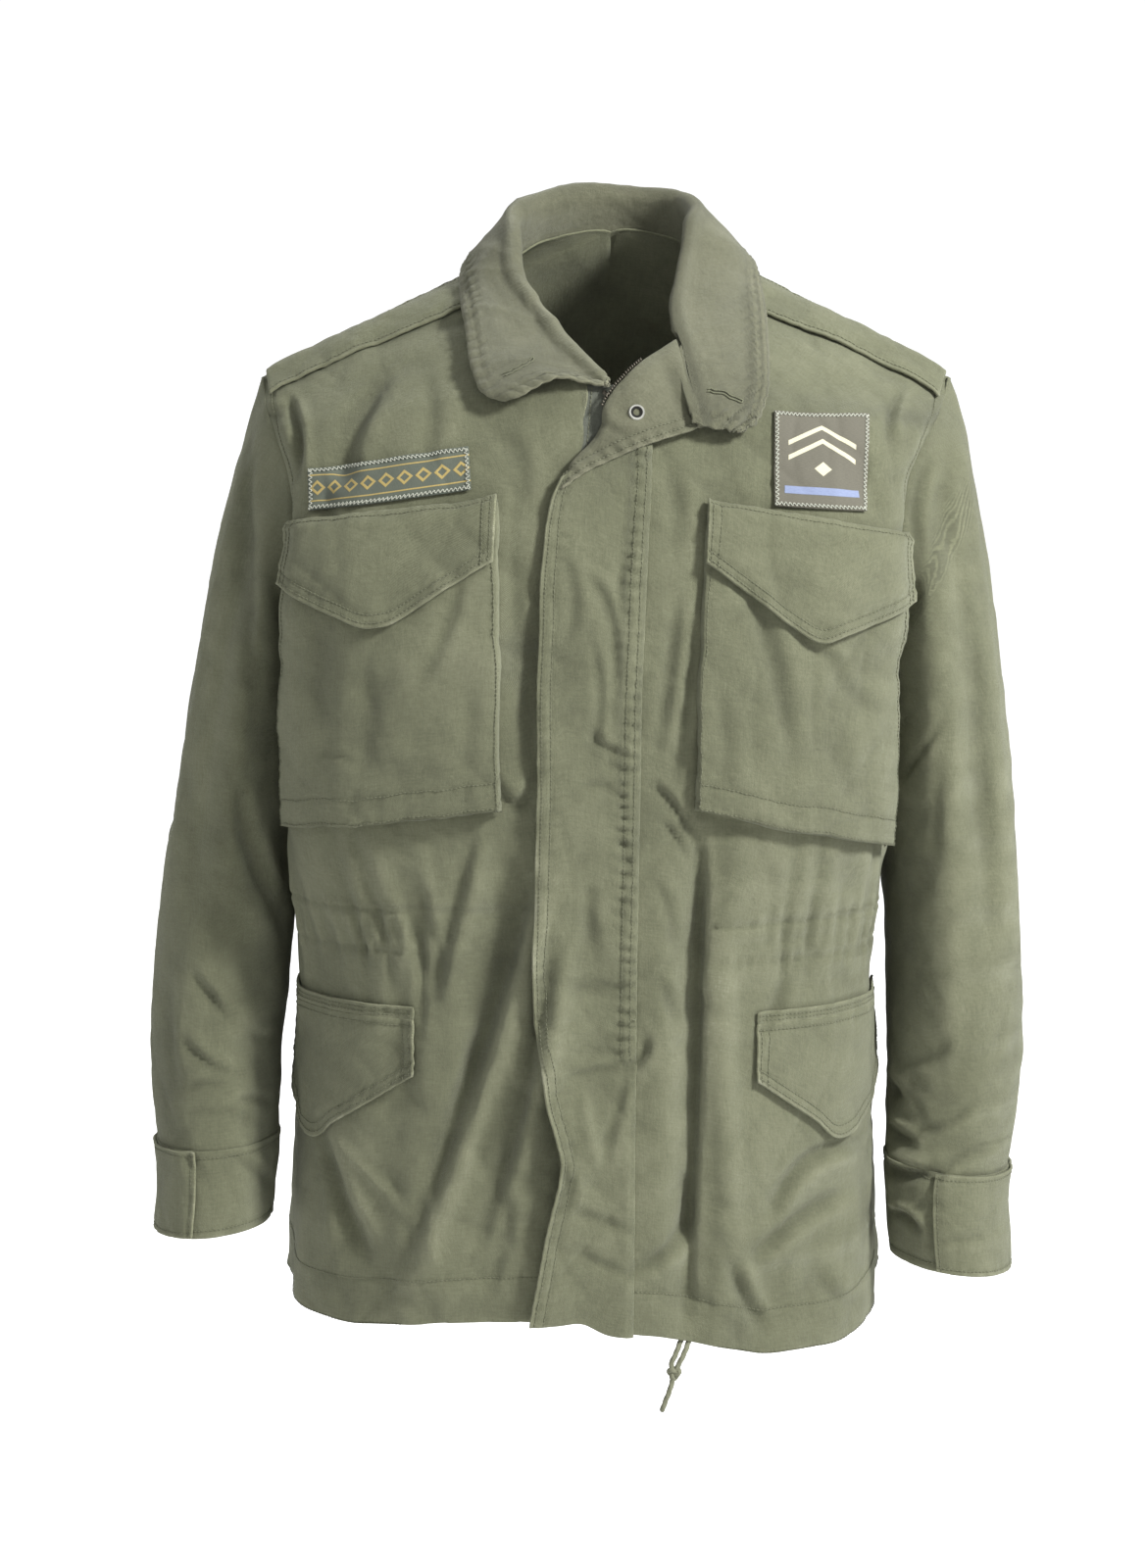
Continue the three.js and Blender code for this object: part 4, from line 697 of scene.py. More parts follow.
def flat_cut(*names):
    """Width, length and area of a cut in metres, from the frame's own smooth nets."""
    width = length = area = 0
    for name in names:
        net = nets[name]
        if name in CLOSED:
            net = np.concatenate([net, net[:, :1]], axis=1)
        across, up = np.diff(net, axis=1), np.diff(net, axis=0)
        width += np.linalg.norm(across, axis=-1).sum(axis=1).max() / 1000
        length = max(length, np.linalg.norm(up, axis=-1).sum(axis=0).max() / 1000)
        area += np.linalg.norm(np.cross(across[:-1] + across[1:], up[:, :-1] + up[:, 1:]),
                               axis=-1).sum() / 4e6
    return (width, length), area


# %% [markdown]
# ## What the cloth looks like
# The jacket is one cloth in several ages: cotton sateen, washed until it is a greyed olive,
# paler where edges rub. Its folds get painted shade in the troughs and painted highlight on
# the ridges. A shader is easier to read as a formula than as boxes and wires, so a small class
# wraps a socket and turns Python's own operators into Math nodes.

# %% Shader values as expressions
class Value:
    """A socket that can be added, subtracted and multiplied like a number."""

    def __init__(self, recipe, socket):
        self.recipe, self.socket = recipe, socket

    def math(self, operation, *others):
        return self.recipe.add("ShaderNodeMath", {"operation": operation},
                               dict(enumerate([self, *others])))

    def __add__(self, other):
        return self.math("ADD", other)

    def __sub__(self, other):
        return self.math("SUBTRACT", other)

    def __mul__(self, other):
        return self.math("MULTIPLY", other)

    def below(self, limit, soft=0.05):
        """1 where the value is under a limit, with a soft step."""
        return self.recipe.add("ShaderNodeMapRange", {"interpolation_type": "SMOOTHSTEP"}, {
            "Value": self, "From Min": limit - soft, "From Max": limit + soft,
            "To Min": 1.0, "To Max": 0.0})


class Recipe:
    """A material as a list of steps. Each step adds one node and gives back its value."""

    def __init__(self, name, **constants):
        self.material = bpy.data.materials.new(name)
        self.material.use_nodes = True
        self.nodes = self.material.node_tree.nodes
        self.shader = self.nodes["Principled BSDF"]
        for key, value in constants.items():
            self.shader.inputs[key.replace("_", " ").title().replace("Ior", "IOR")
                               ].default_value = value

    def add(self, kind, settings=None, inputs=None, out=0):
        node = self.nodes.new(kind)
        for key, value in (settings or {}).items():
            if key == "stops":
                for element, stop in zip(self._elements(node, len(value)), value):
                    element.position, element.color = stop
            else:
                setattr(node, key, value)
        for key, value in (inputs or {}).items():
            self.feed(node.inputs[key], value)
        return Value(self, node.outputs[out])

    def _elements(self, node, count):
        ramp = node.color_ramp.elements
        while len(ramp) < count:
            ramp.new(1.0)
        return ramp

    def feed(self, socket, value):
        if isinstance(value, Value):
            self.material.node_tree.links.new(value.socket, socket)
        else:
            socket.default_value = value

    def set(self, name, value):
        self.feed(self.shader.inputs[name], value)

    def noise(self, where, size, detail=3.0, rough=0.55):
        """Cloudy noise with features of a size in millimetres, between 0 and 1."""
        return self.add("ShaderNodeTexNoise", {}, {
            "Vector": where, "Scale": 1000 / size, "Detail": detail, "Roughness": rough})

    def blend(self, share, first, second):
        return self.add("ShaderNodeMix", {"data_type": "RGBA"}, {
            0: share, 6: first, 7: second}, 2)

    def places(self):
        return self.add("ShaderNodeTexCoord", out=3)

    def along(self, across, up):
        """The UV map in millimetres, divided by two lengths."""
        uv = self.add("ShaderNodeTexCoord", out=2)
        return self.add("ShaderNodeVectorMath", {"operation": "MULTIPLY"}, {
            0: uv, 1: (1000 / across, 1000 / up, 0)})

    def parts(self, vector):
        node = self.add("ShaderNodeSeparateXYZ", inputs={0: vector}).socket.node
        return Value(self, node.outputs[0]), Value(self, node.outputs[1])

    def bump(self, height, depth, strength=1.0):
        """Relief of a depth in millimetres."""
        self.set("Normal", self.add("ShaderNodeBump", {}, {
            "Height": height, "Distance": depth / 1000, "Strength": strength}))


# %% Cotton sateen
def shade(colour, times):
    """A colour made lighter or darker by a factor."""
    return (colour[0] * times, colour[1] * times, colour[2] * times, 1)


def weave_height(recipe, thread=0.55):
    """Sateen weave: fine upright ribs, broken by short floats across, with uneven threads."""
    across, up = recipe.parts(recipe.along(thread, thread * 1.6))
    slub = recipe.noise(recipe.along(1.4, 9.0), 1000, 2.0)
    wave = (across + slub * 0.9) * (2 * np.pi)
    ribs = wave.math("SINE")
    floats = (across * np.pi + up * (2 * np.pi)).math("SINE")
    return ribs * 0.35 + floats * 0.25 + slub * 0.8


def cotton(name, colour, spread=1.0):
    """Washed cotton: base x fade x mottling, paler with wear at edges, lighter on fold ridges as
    painted highlight and darker in folds as painted shade.
    """
    recipe = Recipe(name, specular_ior_level=0.22, sheen_weight=0.18, sheen_roughness=0.55,
                    sheen_tint=(0.75, 0.77, 0.66, 1))
    where = recipe.places()
    fade = recipe.noise(where, 120, 3.0, 0.5)
    mottle = recipe.noise(where, 17, 4.0, 0.6)
    grain = recipe.noise(where, 2.2, 3.0, 0.6)
    # The wear attribute: real edge wear, with painted shade in troughs and painted highlight on ridges.
    wear_and_fold_shade = recipe.add("ShaderNodeAttribute", {"attribute_name": "wear"}, out=2)
    slubs = recipe.noise(recipe.along(1.1, 14.0), 1000, 2.0)
    floats = recipe.noise(recipe.along(12.0, 1.2), 1000, 2.0)
    level = (fade - 0.5) * 0.5 * spread + (mottle - 0.5) * 0.5 * spread
    level = level + (slubs + floats - 1) * 0.42 + (grain - 0.5) * 0.4
    level = level + (wear_and_fold_shade - 0.35) * 1.05 + 0.45
    tone = recipe.add("ShaderNodeValToRGB", {"stops": [
        (0.0, shade(colour, 0.66)), (0.45, shade(colour, 1.0)),
        (0.8, (colour[0] * 1.32, colour[1] * 1.3, colour[2] * 1.36, 1)),
        (1.0, (colour[0] * 1.75, colour[1] * 1.7, colour[2] * 1.95, 1))]}, {"Fac": level})
    recipe.set("Base Color", tone)
    recipe.set("Roughness", mottle * 0.16 + 0.78)
    soft = recipe.noise(where, 6, 3.0, 0.6)
    recipe.bump(weave_height(recipe) * 0.4 + grain * 0.5 + soft * 1.5, 0.7, 1.0)
    return recipe.material


olive = cotton("olive_sateen", (0.132, 0.137, 0.083))
# Collar and lapel cloth: more mottled by wear, and darker than the body cloth as painted shade on the top
# of the jacket.
olive_worn = cotton("olive_worn", (0.12, 0.121, 0.077), 1.2)
zip_band = cotton("zip_band", (0.095, 0.102, 0.08), 0.6)


# %% Threads, tape, patch, cord and metal
def yarn(name, colour, size=1.2):
    """Matt thread or twine with fine uneven strands."""
    recipe = Recipe(name, specular_ior_level=0.25, sheen_weight=0.1, sheen_roughness=0.5)
    strand = recipe.noise(recipe.places(), size, 3.0, 0.7)
    recipe.set("Base Color", recipe.blend(strand, shade(colour, 0.72), shade(colour, 1.3)))
    recipe.set("Roughness", strand * 0.2 + 0.68)
    recipe.bump(strand, 0.15, 0.7)
    return recipe.material


def name_tape_look():
    """Woven tape: a row of lozenges between two fine lines, in pale thread on grey-green."""
    recipe = Recipe("tape_weave", specular_ior_level=0.25, sheen_weight=0.1)
    u, v = recipe.parts(recipe.along(1, 1))
    middle = nets_height("name_tape") / 2
    off = (v - middle).math("ABSOLUTE")
    lozenge = (u.math("PINGPONG", 13.0) - 6.5).math("ABSOLUTE") * 0.9 + off
    motif = lozenge.below(5.2, 0.35) - lozenge.below(2.9, 0.3)
    line = (off - middle * 0.6).math("ABSOLUTE").below(0.5, 0.2)
    mark = motif.math("MAXIMUM", line)
    strand = recipe.noise(recipe.along(0.5, 2.5), 1000, 2.0)
    ground = recipe.blend(strand, (0.062, 0.072, 0.055, 1), (0.11, 0.122, 0.095, 1))
    pale = recipe.blend(strand, (0.25, 0.19, 0.06, 1), (0.4, 0.31, 0.12, 1))
    recipe.set("Base Color", recipe.blend(mark, ground, pale))
    recipe.set("Roughness", strand * 0.2 + 0.7)
    recipe.bump(strand * 0.5 + mark * 0.8, 0.3, 0.8)
    return recipe.material


def badge_look():
    """Stitched patch: two chevrons over a diamond and a blue band, on dark taupe."""
    recipe = Recipe("patch_stitch", specular_ior_level=0.25, sheen_weight=0.1)
    u, v = recipe.parts(recipe.along(1, 1))
    wide, tall = nets_width("badge"), nets_height("badge")
    side = (u - wide / 2).math("ABSOLUTE")
    slope = v + side * 0.55
    inside = side.below(wide * 0.36, 0.3)
    chevrons = ((slope - tall * 0.84).math("ABSOLUTE").below(1.7, 0.3)).math(
        "MAXIMUM", (slope - tall * 0.69).math("ABSOLUTE").below(1.7, 0.3)) * inside
    diamond = (side + (v - tall * 0.4).math("ABSOLUTE") * 1.2).below(6.2, 0.4)
    band = (v - tall * 0.17).math("ABSOLUTE").below(2.6, 0.3) * side.below(wide * 0.4, 0.3)
    strand = recipe.noise(recipe.along(2.5, 0.5), 1000, 2.0)
    ground = recipe.blend(strand, (0.07, 0.066, 0.05, 1), (0.125, 0.118, 0.09, 1))
    cream = recipe.blend(strand, (0.4, 0.38, 0.26, 1), (0.58, 0.55, 0.4, 1))
    blue = recipe.blend(strand, (0.13, 0.16, 0.26, 1), (0.22, 0.26, 0.38, 1))
    mark = chevrons.math("MAXIMUM", diamond)
    recipe.set("Base Color", recipe.blend(band, recipe.blend(mark, ground, cream), blue))
    recipe.set("Roughness", strand * 0.2 + 0.66)
    recipe.bump(strand * 0.4 + mark * 0.9 + band * 0.7, 0.4, 0.8)
    return recipe.material


def nets_height(name):
    """The mean height of a patch in millimetres."""
    return float(np.linalg.norm(np.diff(nets[name], axis=0), axis=-1).sum(axis=0).mean())


def nets_width(name):
    """The mean width of a patch in millimetres."""
    return float(np.linalg.norm(np.diff(nets[name], axis=1), axis=-1).sum(axis=1).mean())


def metal(name, colour, rough, centre=None):
    """Painted or bare metal with fine wear. With a centre, its middle is painted near black as
    the shade in a well.
    """
    recipe = Recipe(name, metallic=0.85, specular_ior_level=0.5)
    where = recipe.places()
    wear = recipe.noise(where, 3, 4.0, 0.65)
    tone = recipe.blend(wear, shade(colour, 0.7), shade(colour, 1.25))
    if centre is not None:
        # Painted shade: near black within 4.2 mm of the centre, for the socket's well.
        gap = recipe.add("ShaderNodeVectorMath", {"operation": "DISTANCE"}, {
            0: where, 1: tuple(centre)}, 1)
        tone = recipe.blend(gap.below(0.0042, 0.0002), tone, (0.02, 0.02, 0.018, 1))
    recipe.set("Base Color", tone)
    recipe.set("Roughness", wear * 0.25 + rough)
    recipe.bump(wear, 0.06, 0.5)
    return recipe.material


thread = yarn("olive_thread", (0.12, 0.125, 0.078))
pale_thread = yarn("pale_thread", (0.36, 0.37, 0.31))
twine = yarn("cord_twine", (0.14, 0.143, 0.095), 1.6)
zip_metal = metal("zip_metal", (0.1, 0.09, 0.07), 0.35)

# %% [markdown]
# ## The camera
# The camera stands where the folds were picked from. Its lens follows from the scale: the long
# side of the picture, 1600 pixels of 0.69 mm, fills the sensor from 3.6 m away.

# %% Camera
SENSOR, FARTHEST = 36, 50
sight = bpy.data.cameras.new("sight")
sight.sensor_width, sight.sensor_fit = SENSOR, "AUTO"
sight.lens = round(SENSOR * DISTANCE / (PICTURE_TALL * PIXEL), 2)
sight.clip_end = FARTHEST
camera = bpy.data.objects.new("camera", sight)
camera.location = EYE / 1000
camera.rotation_euler = (np.pi / 2 - LOOKS_DOWN, 0, 0)
bpy.context.scene.collection.objects.link(camera)
bpy.context.scene.camera = camera
print("lens:", sight.lens)

# %% [markdown]
# ## The drawcord
# A thin braided cord leaves the hem near the front opening, both strands meet in a knot, and
# one end hangs free below it. The cord is a tube swept along a smooth line through a few
# points, and three shallow grooves wind round it.

# %% Cord and knot
CORD = 3.8
SIDES = 18
KNOT_MIDDLE, KNOT_SIZE = np.array([50.7, -147.5, -743.2]), 1.22
LONG_STRAND = [(65.5, -131, -706), (63.5, -134, -714), (60.5, -140, -723.5),
               (57, -145.5, -731), (53.4, -147, -737.8), (50.6, -147.6, -743.4),
               (49.4, -148, -748.8), (47.5, -150, -755), (44.6, -150.6, -762.5),
               (42, -151, -770)]
SHORT_STRAND = [(61, -131, -706), (58.5, -134, -714), (55, -140, -723), (51.6, -145, -730.6),
                (48.8, -147, -737.2), (49.8, -147.4, -741.5)]


def smooth_line(points, step=0.8):
    """A cubic line through points, with a point about every step."""
    net = np.array(points, float)[:, None]
    return refine(refine(net, 0, 4.0), 0, step)[:, 0]


def cord_tube(name, points, looped=False):
    """A tube with three winding grooves: r = R (1 - 0.09 (1 + cos(3 a + 2 pi s / 7)))."""
    line = np.array(points, float) if looped else smooth_line(points)
    turned = np.roll(line, -1, 0) - np.roll(line, 1, 0)
    ahead = unit(turned if looped else np.gradient(line, axis=0))
    side = unit(np.cross(ahead, np.array([0.31, 0.9, 0.2])))
    over = np.cross(ahead, side)
    gone = np.cumsum(np.linalg.norm(np.diff(line, axis=0, prepend=line[:1]), axis=1))
    turn = np.linspace(0, 2 * np.pi, SIDES, endpoint=False)
    girth = CORD / 2 * (1.06 - 0.09 * (1 + np.cos(3 * turn[None] + gone[:, None] * 0.9)))
    if not looped:
        tip = np.minimum(gone, gone[-1] - gone)
        girth *= np.sqrt(np.clip(tip / 1.2, 0.02, 1))[:, None]
    rings = line[:, None] + girth[..., None] * (side[:, None] * np.cos(turn)[None, :, None]
                                                + over[:, None] * np.sin(turn)[None, :, None])
    count = len(line)
    number = np.arange(count * SIDES).reshape(count, SIDES)
    number = np.concatenate([number, number[:, :1]], axis=1)
    if looped:
        number = np.concatenate([number, number[:1]])
    faces = np.stack([number[:-1, :-1], number[:-1, 1:], number[1:, 1:], number[1:, :-1]], -1)
    faces = faces.reshape(-1, 4)
    points = rings.reshape(-1, 3)
    if not looped:
        points = np.concatenate([points, line[[0, -1]]])
        first, last = number[0], number[-1]
        low = np.full(SIDES, count * SIDES)
        faces = np.concatenate([faces, np.stack([first[1:], first[:-1], low, low], -1),
                                np.stack([last[:-1], last[1:], low + 1, low + 1], -1)])
    piece = mesh_object(name, points, faces, twine)
    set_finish(piece, "cord")
    return piece, line


t = np.linspace(0, 2 * np.pi, 60, endpoint=False)
knot_line = KNOT_MIDDLE + KNOT_SIZE * np.stack(
    [np.sin(t) + 2 * np.sin(2 * t), -0.9 * np.sin(3 * t), np.cos(t) - 2 * np.cos(2 * t)], -1)
knot, _ = cord_tube("cord_knot", knot_line, True)
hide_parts("hem_cord_knot")
long_cord, long_line = cord_tube("drawcord_long", LONG_STRAND)
short_cord, short_line = cord_tube("drawcord_short", SHORT_STRAND)
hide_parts("hem_cord", "hem_cord_end")
for piece, line, end in ((long_cord, long_line, "bare"), (short_cord, short_line, "knot")):
    tuple(line[0] / 1000)
    (line[::4] / 1000).tolist() + [(line[-1] / 1000).tolist()]
    [knot] if end == "bare" else []

# %% [markdown]
# ## The pieces
# Every piece has a row in one table: the distance between its fine points, its thickness, the
# lists of folds that reach it and the edges that rub. Its seams are listed under its name. The
# storm flap, the welts and the flaps lie on the panels, so they get the panel's folds too, and
# nothing slides through what it lies on.

# %% The storm flap runs on under its turned-back top, and the collar over the neck edge
def under_lapel(fly, lapel, lift=6.0, depth=2.6):
    """The flap with two more rows: below the lapel's free edge, and just behind it."""
    edge = lapel[:, -1]
    order = np.argsort(edge[:, 0])
    shift = np.linspace(0, 1, fly.shape[1])
    x = np.clip(fly[-1, :, 0] + 7 * (1 - shift), edge[:, 0].min(), None)
    behind = np.stack([np.interp(x, edge[order, 0], edge[order, n]) for n in range(3)], -1)
    top = behind + np.array([0, depth, lift])
    middle = (fly[-1] * 0.45 + behind * 0.55) + np.array([-2.5, 0.6, 0]) * (1 - shift)[:, None]
    return np.concatenate([fly, middle[None], top[None]])


TO_HEM, SEWN_IN, COLLAR_TIP = 8.5, 5, 17
nets["fly"][0, :, 2] -= TO_HEM
nets["fly"] = under_lapel(nets["fly"], nets["lapel"])
foot = nets["collar"][-1] + SEWN_IN * unit(nets["collar"][-1] - nets["collar"][-2])
nets["collar"] = np.concatenate([nets["collar"], foot[None]])
for _ in range(2):  # the six columns before the last are evened with their neighbours
    c = nets["collar"]
    c[:, -7:-1] = (c[:, -8:-2] + 2 * c[:, -7:-1] + c[:, -6:]) / 4
print("storm flap rows:", nets["fly"].shape[0], "tip", nets["fly"][-1, 0].round(1))

# %% Which folds, seams and edges a piece has
CLOSED = ("sleeve_right", "sleeve_left", "cuff_right", "cuff_left")
HEM, POCKET_HEM, RIM = 31, 20, 2.6
SUNK, SUNK_WIDE = 2.1, 5


def around(edges, *insets, pucker=0.28):
    """The same stitch rows along several edges, at one or more distances from them."""
    return [seam(edge, inset, pucker) for edge in edges.split() for inset in insets]


def tray_seams(name):
    """A bellows pocket is sewn beside its turned-down rim, and its hem is 20 mm wide."""
    net = nets[name]
    side = float(np.linalg.norm(net[:, 1] - net[:, 0], axis=-1).mean())
    foot = float(np.linalg.norm(net[1] - net[0], axis=-1).mean())
    return [seam("start", side + RIM), seam("end", side + RIM), seam("low", foot + RIM),
            seam("low", foot + POCKET_HEM)]


def both(name, cell, thick, front, behind, rough, free, slot, hung, rests):
    """A row for each side. A star stands for the side's name, and the middle edge of a cut
    is its end on the right and its start on the left. Folds can be given for each side."""
    return [(name.replace("*", side), cell, thick, folds, behind, rough,
             free.replace("middle", edge), slot, hung, rests.replace("*", side))
            for side, edge, folds in zip(("right", "left"), ("end", "start"),
                                         front if isinstance(front, tuple) else (front, front))]


SLEEVES = (SLEEVE_RIGHT, SLEEVE_LEFT)
PIECES = named("name cell thick front behind rough free slot hung rests", [
    *both("front_*", 2.75, 1.6, BODY, (), 1.0, "low middle", "olive", "hung", "back"),
    *both("sleeve_*", 3.6, 1.6, SLEEVES, SLEEVE_BACK_FOLDS, 0.9, "", "olive", "hung", "front_*"),
    *both("cuff_*", 2.6, 1.6, SLEEVES, (), 1.0, "low", "olive", "hung", "sleeve_*"),
    *both("cuff_tab_*", 2.4, 2, SLEEVES, (), 1.0, "low top start end", "olive", "laid", "cuff_*"),
    *both("pocket_chest_*", 2.6, 1.5, POCKETS, (), 1.0, "low", "olive", "laid", "front_*"),
    *both("flap_chest_*", 2.4, 2.2, POCKETS + FLAP_BUMPS, (), 1.0, "low start end", "olive",
          "laid", "pocket_chest_*"),
    *both("flap_lower_*", 2.6, 2.2, BODY + FLAP_BUMPS, (), 1.0, "low start end", "olive",
          "laid", "front_*"),
    *both("welt_*", 2.6, 1.8, BODY, (), 1.0, "low top", "olive", "laid", "front_*"),
    ("fly", 2.0, 2, BODY + SNAP_BUMPS, (), 1.0, "start low", "olive", "laid", "front_right"),
    ("zip_tape", 2.6, 1.6, BODY, (), 0.6, "", "tape", "laid", "front_right"),
    ("lapel", 1.8, 2.2, LAPEL, (), 1.0, "end low", "olive_worn", "folded", "fly"),
    ("collar", 1.9, 2.4, COLLAR, (), 0.75, "low start end", "olive_worn", "folded", "back"),
    *both("shoulder_loop_*", 2.4, 2.4, BODY, (), 1.0, "low top end start", "olive", "laid",
          "front_*"),
    ("name_tape", 1.6, 1.2, BODY, (), 1.0, "low top start end", "tape", "laid", "front_right"),
    ("badge", 1.6, 1.2, BODY, (), 1.0, "low top start end", "patch", "laid", "front_left"),
])
PIT = 436


def channel(heights, low=0, high=WHOLE, press=1.3):
    """The two stitch rows of the waist channel, between two distances along them."""
    return [seam("height", height, 1.3, low, high, press) for height in heights]


SEAMS = {
    "front_right": [seam("low", HEM), seam("start", 7, 0.35, PIT),
                    *channel((577, 549), high=176)],
    "front_left": [seam("low", HEM), seam("end", 7, 0.35, PIT), *channel((569, 543), low=84)],
    "back": [seam("low", HEM), *channel((574, 545), press=1.0)],
    "fly": [seam("start", RIM, 0.45), seam("start", 9, 0.45),
            seam("end", 4, 1.1, 196), seam("end", 10.5, 1.5, 196)],
    "zip_tape": around("start end", 4),
    "lapel": around("end", 3, 9.5, pucker=0.7),
    "collar": around("low start end", 3, 10, pucker=0.8),
}
for side in ("right", "left"):
    SEAMS["cuff_" + side] = [seam("low", 5), seam("top", 5)]
    SEAMS["cuff_tab_" + side] = around("low top start end", RIM)
    SEAMS["pocket_chest_" + side] = tray_seams("pocket_chest_" + side)
    for flap in ("flap_chest_", "flap_lower_"):
        SEAMS[flap + side] = around("low start end", RIM, 8.5) + [seam("top", 4)]
    SEAMS["welt_" + side] = around("low top", RIM)
    SEAMS["shoulder_loop_" + side] = around("low top", 3)
CORNERS = {"pocket_chest_right": ((1, 10), (1, 10)), "pocket_chest_left": ((1, 10), (1, 9))}
LOOKS = {"olive": olive, "olive_worn": olive_worn, "tape": zip_band, "patch": zip_band}


# %% Gathers at the waist
CORD_Z, FULLEST_Z, GATHER_FROM = -441, -425, 98


def gathers(cloth, strength=1.0):
    """A cord in the waist draws the cloth up: upright waves 12.5 mm apart between the two
    stitch rows and 31 mm apart above and below them. They start 98 mm from the middle."""
    x, z = cloth.points[..., 0], cloth.points[..., 2]
    way = cloth.way["start"]
    wander = 2.2 * np.sin(way / 29) + 1.4 * np.sin(way / 12.3 + 1) + z / 60
    near = np.exp(-((z - CORD_Z) / 23) ** 2)
    outer = smooth((np.abs(x) - GATHER_FROM) / 22)
    tall = np.exp(-((z - FULLEST_Z) / 52) ** 2) * np.sin(way * 2 * np.pi / 31 + wander)
    short = near * np.sin(way * 2 * np.pi / 12.5 + 1.3 * wander)
    return strength * outer * (1.3 * short + 1.5 * tall)


# %% Make the cloth pieces
cloth_pieces = {}


def finish_piece(piece, row, names):
    """Says what the piece stands for, and keeps it with its threads and its cut."""
    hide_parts(row["name"])
    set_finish(piece, row["slot"])
    cloth_pieces[row["name"]] = (piece, row, names, threads_of(row["name"], piece))


def threads_of(name, piece):
    """The stitches of a piece as one mesh."""
    found = [stitches(*seam_path(cloth, line)) for cloth in made[name]
             for line in SEAMS.get(name, [])]
    found = [f for f in found if len(f[0])]
    if not found:
        return []
    sewn = mesh_object("sewing_" + name, *joined(found), thread)
    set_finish(sewn, piece["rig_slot"])
    return [sewn]


for row in PIECES:
    name = row["name"]
    rows, columns = CORNERS.get(name, ((), ()))
    cloth = cloth_of(name, row["cell"], name in CLOSED, rows, columns)
    for side in ("start", "end") if name == "collar" else ():
        cloth.round_corner(side, COLLAR_TIP)
    depth = 1.1 if name.startswith(("sleeve", "collar")) else 1.3
    rise = worn_shape(cloth, row["front"], row["behind"], row["rough"], depth)
    if name.startswith("front"):
        rise += gathers(cloth)
    rise += seam_rise(cloth, SEAMS.get(name, []))
    if name == "fly":
        rise -= SUNK * smooth(1 - cloth.way["end"] / SUNK_WIDE)
    # wear: edge wear, with painted shade in troughs and painted highlight on ridges
    wear = edge_wear_and_fold_shade(cloth, rise, row["free"].split())
    cloth.move(rise)
    made[name] = [cloth]
    count = cloth.points.shape[0] * cloth.points.shape[1]
    numbers = np.arange(count).reshape(cloth.points.shape[:2])
    if cloth.closed:
        numbers = np.concatenate([numbers, numbers[:, :1]], axis=1)
    look = {"name_tape": name_tape_look, "badge": badge_look}.get(name)
    piece = wall("cloth_" + name, [cloth], [numbers], boundary(numbers, cloth.closed),
                 row["thick"], look() if look else LOOKS[row["slot"]], wear.ravel())
    finish_piece(piece, row, [name])

# %% [markdown]
# ## The back
# The back is one cut, but its top is notched by the neck, so its net comes in two halves that
# share a middle column up to the notch. Each half borrows two columns of the other while it
# is made fine, so the cloth runs on smoothly over the middle.

# %% Two halves as one
NOTCH = 23


def borrowed(net, other, at_end):
    """Two columns of the other half beside the shared one, straight on above the notch."""
    step = net[:, -1] - net[:, -2] if at_end else net[:, 0] - net[:, 1]
    near = net[:, -1] if at_end else net[:, 0]
    extra = np.stack([near + step, near + 2 * step], axis=1)
    extra[:NOTCH + 1] = other[:NOTCH + 1, 1:3] if at_end else other[:NOTCH + 1, -2:-4:-1]
    return np.concatenate([net, extra] if at_end else [extra[:, ::-1], net], axis=1)


def fine_half(net, other, at_end, cell):
    """A half made fine across, without the borrowed columns."""
    fine = refine(borrowed(net, other, at_end), 1, cell)
    shared = net[0, -1] if at_end else net[0, 0]
    stop = int(np.linalg.norm(fine[0] - shared, axis=-1).argmin())
    return fine[:, :stop + 1] if at_end else fine[:, stop:]


BACK_CELL = 4.1
left, right = nets["back_left"], nets["back_right"]
fine_left = fine_half(left, right, True, BACK_CELL)
fine_right = fine_half(right, left, False, BACK_CELL)
both = refine(np.concatenate([fine_left, fine_right], axis=1), 0, BACK_CELL)
split = fine_left.shape[1]
notch = int(np.linalg.norm(both[:, split - 1] - left[NOTCH, -1], axis=-1).argmin())
middle = (both[:notch + 1, split - 1] + both[:notch + 1, split]) / 2
both[:notch + 1, split - 1] = both[:notch + 1, split] = middle
halves = [Cloth(both[:, :split]), Cloth(both[:, split:])]


def even_middle(field_of):
    """Gives the shared column the mean of its two values."""
    a, b = field_of(halves[0]), field_of(halves[1])
    mean = (a[:notch + 1, -1] + b[:notch + 1, 0]) / 2
    a[:notch + 1, -1] = b[:notch + 1, 0] = unit(mean) if mean.ndim == 2 else mean


even_middle(lambda half: half.out)
offset = halves[0].way["start"][:, -1:]
halves[1].way["start"] = halves[1].way["start"] + offset
for half in halves:
    lift = worn_shape(half, (), BACK_FOLDS, 1.1) + gathers(half, 0.9)
    half.rise = lift + seam_rise(half, SEAMS["back"])
even_middle(lambda half: half.rise)
# wear: hem wear, with painted shade in troughs and painted highlight on ridges
wear = np.concatenate([edge_wear_and_fold_shade(half, half.rise, ["low"]).ravel() for half in halves])
for half in halves:
    half.move(half.rise)
even_middle(lambda half: half.out)
made["back"] = halves
first = np.arange(halves[0].points[..., 0].size).reshape(halves[0].points.shape[:2])
second = first.size + np.arange(halves[1].points[..., 0].size).reshape(
    halves[1].points.shape[:2])
second[:notch + 1, 0] = first[:notch + 1, -1]
rim = np.concatenate([first[0], second[0, 1:], second[1:, -1], second[-1, -2::-1],
                      second[-2:notch:-1, 0], first[notch:-1, -1], first[-1, ::-1],
                      first[-2:0:-1, 0]])
row = {"name": "back", "slot": "olive", "hung": "hung", "rests": "front_right"}
piece = wall("cloth_back", halves, [first, second], [rim], 1.6, olive, wear)
finish_piece(piece, row, ["back_left", "back_right"])

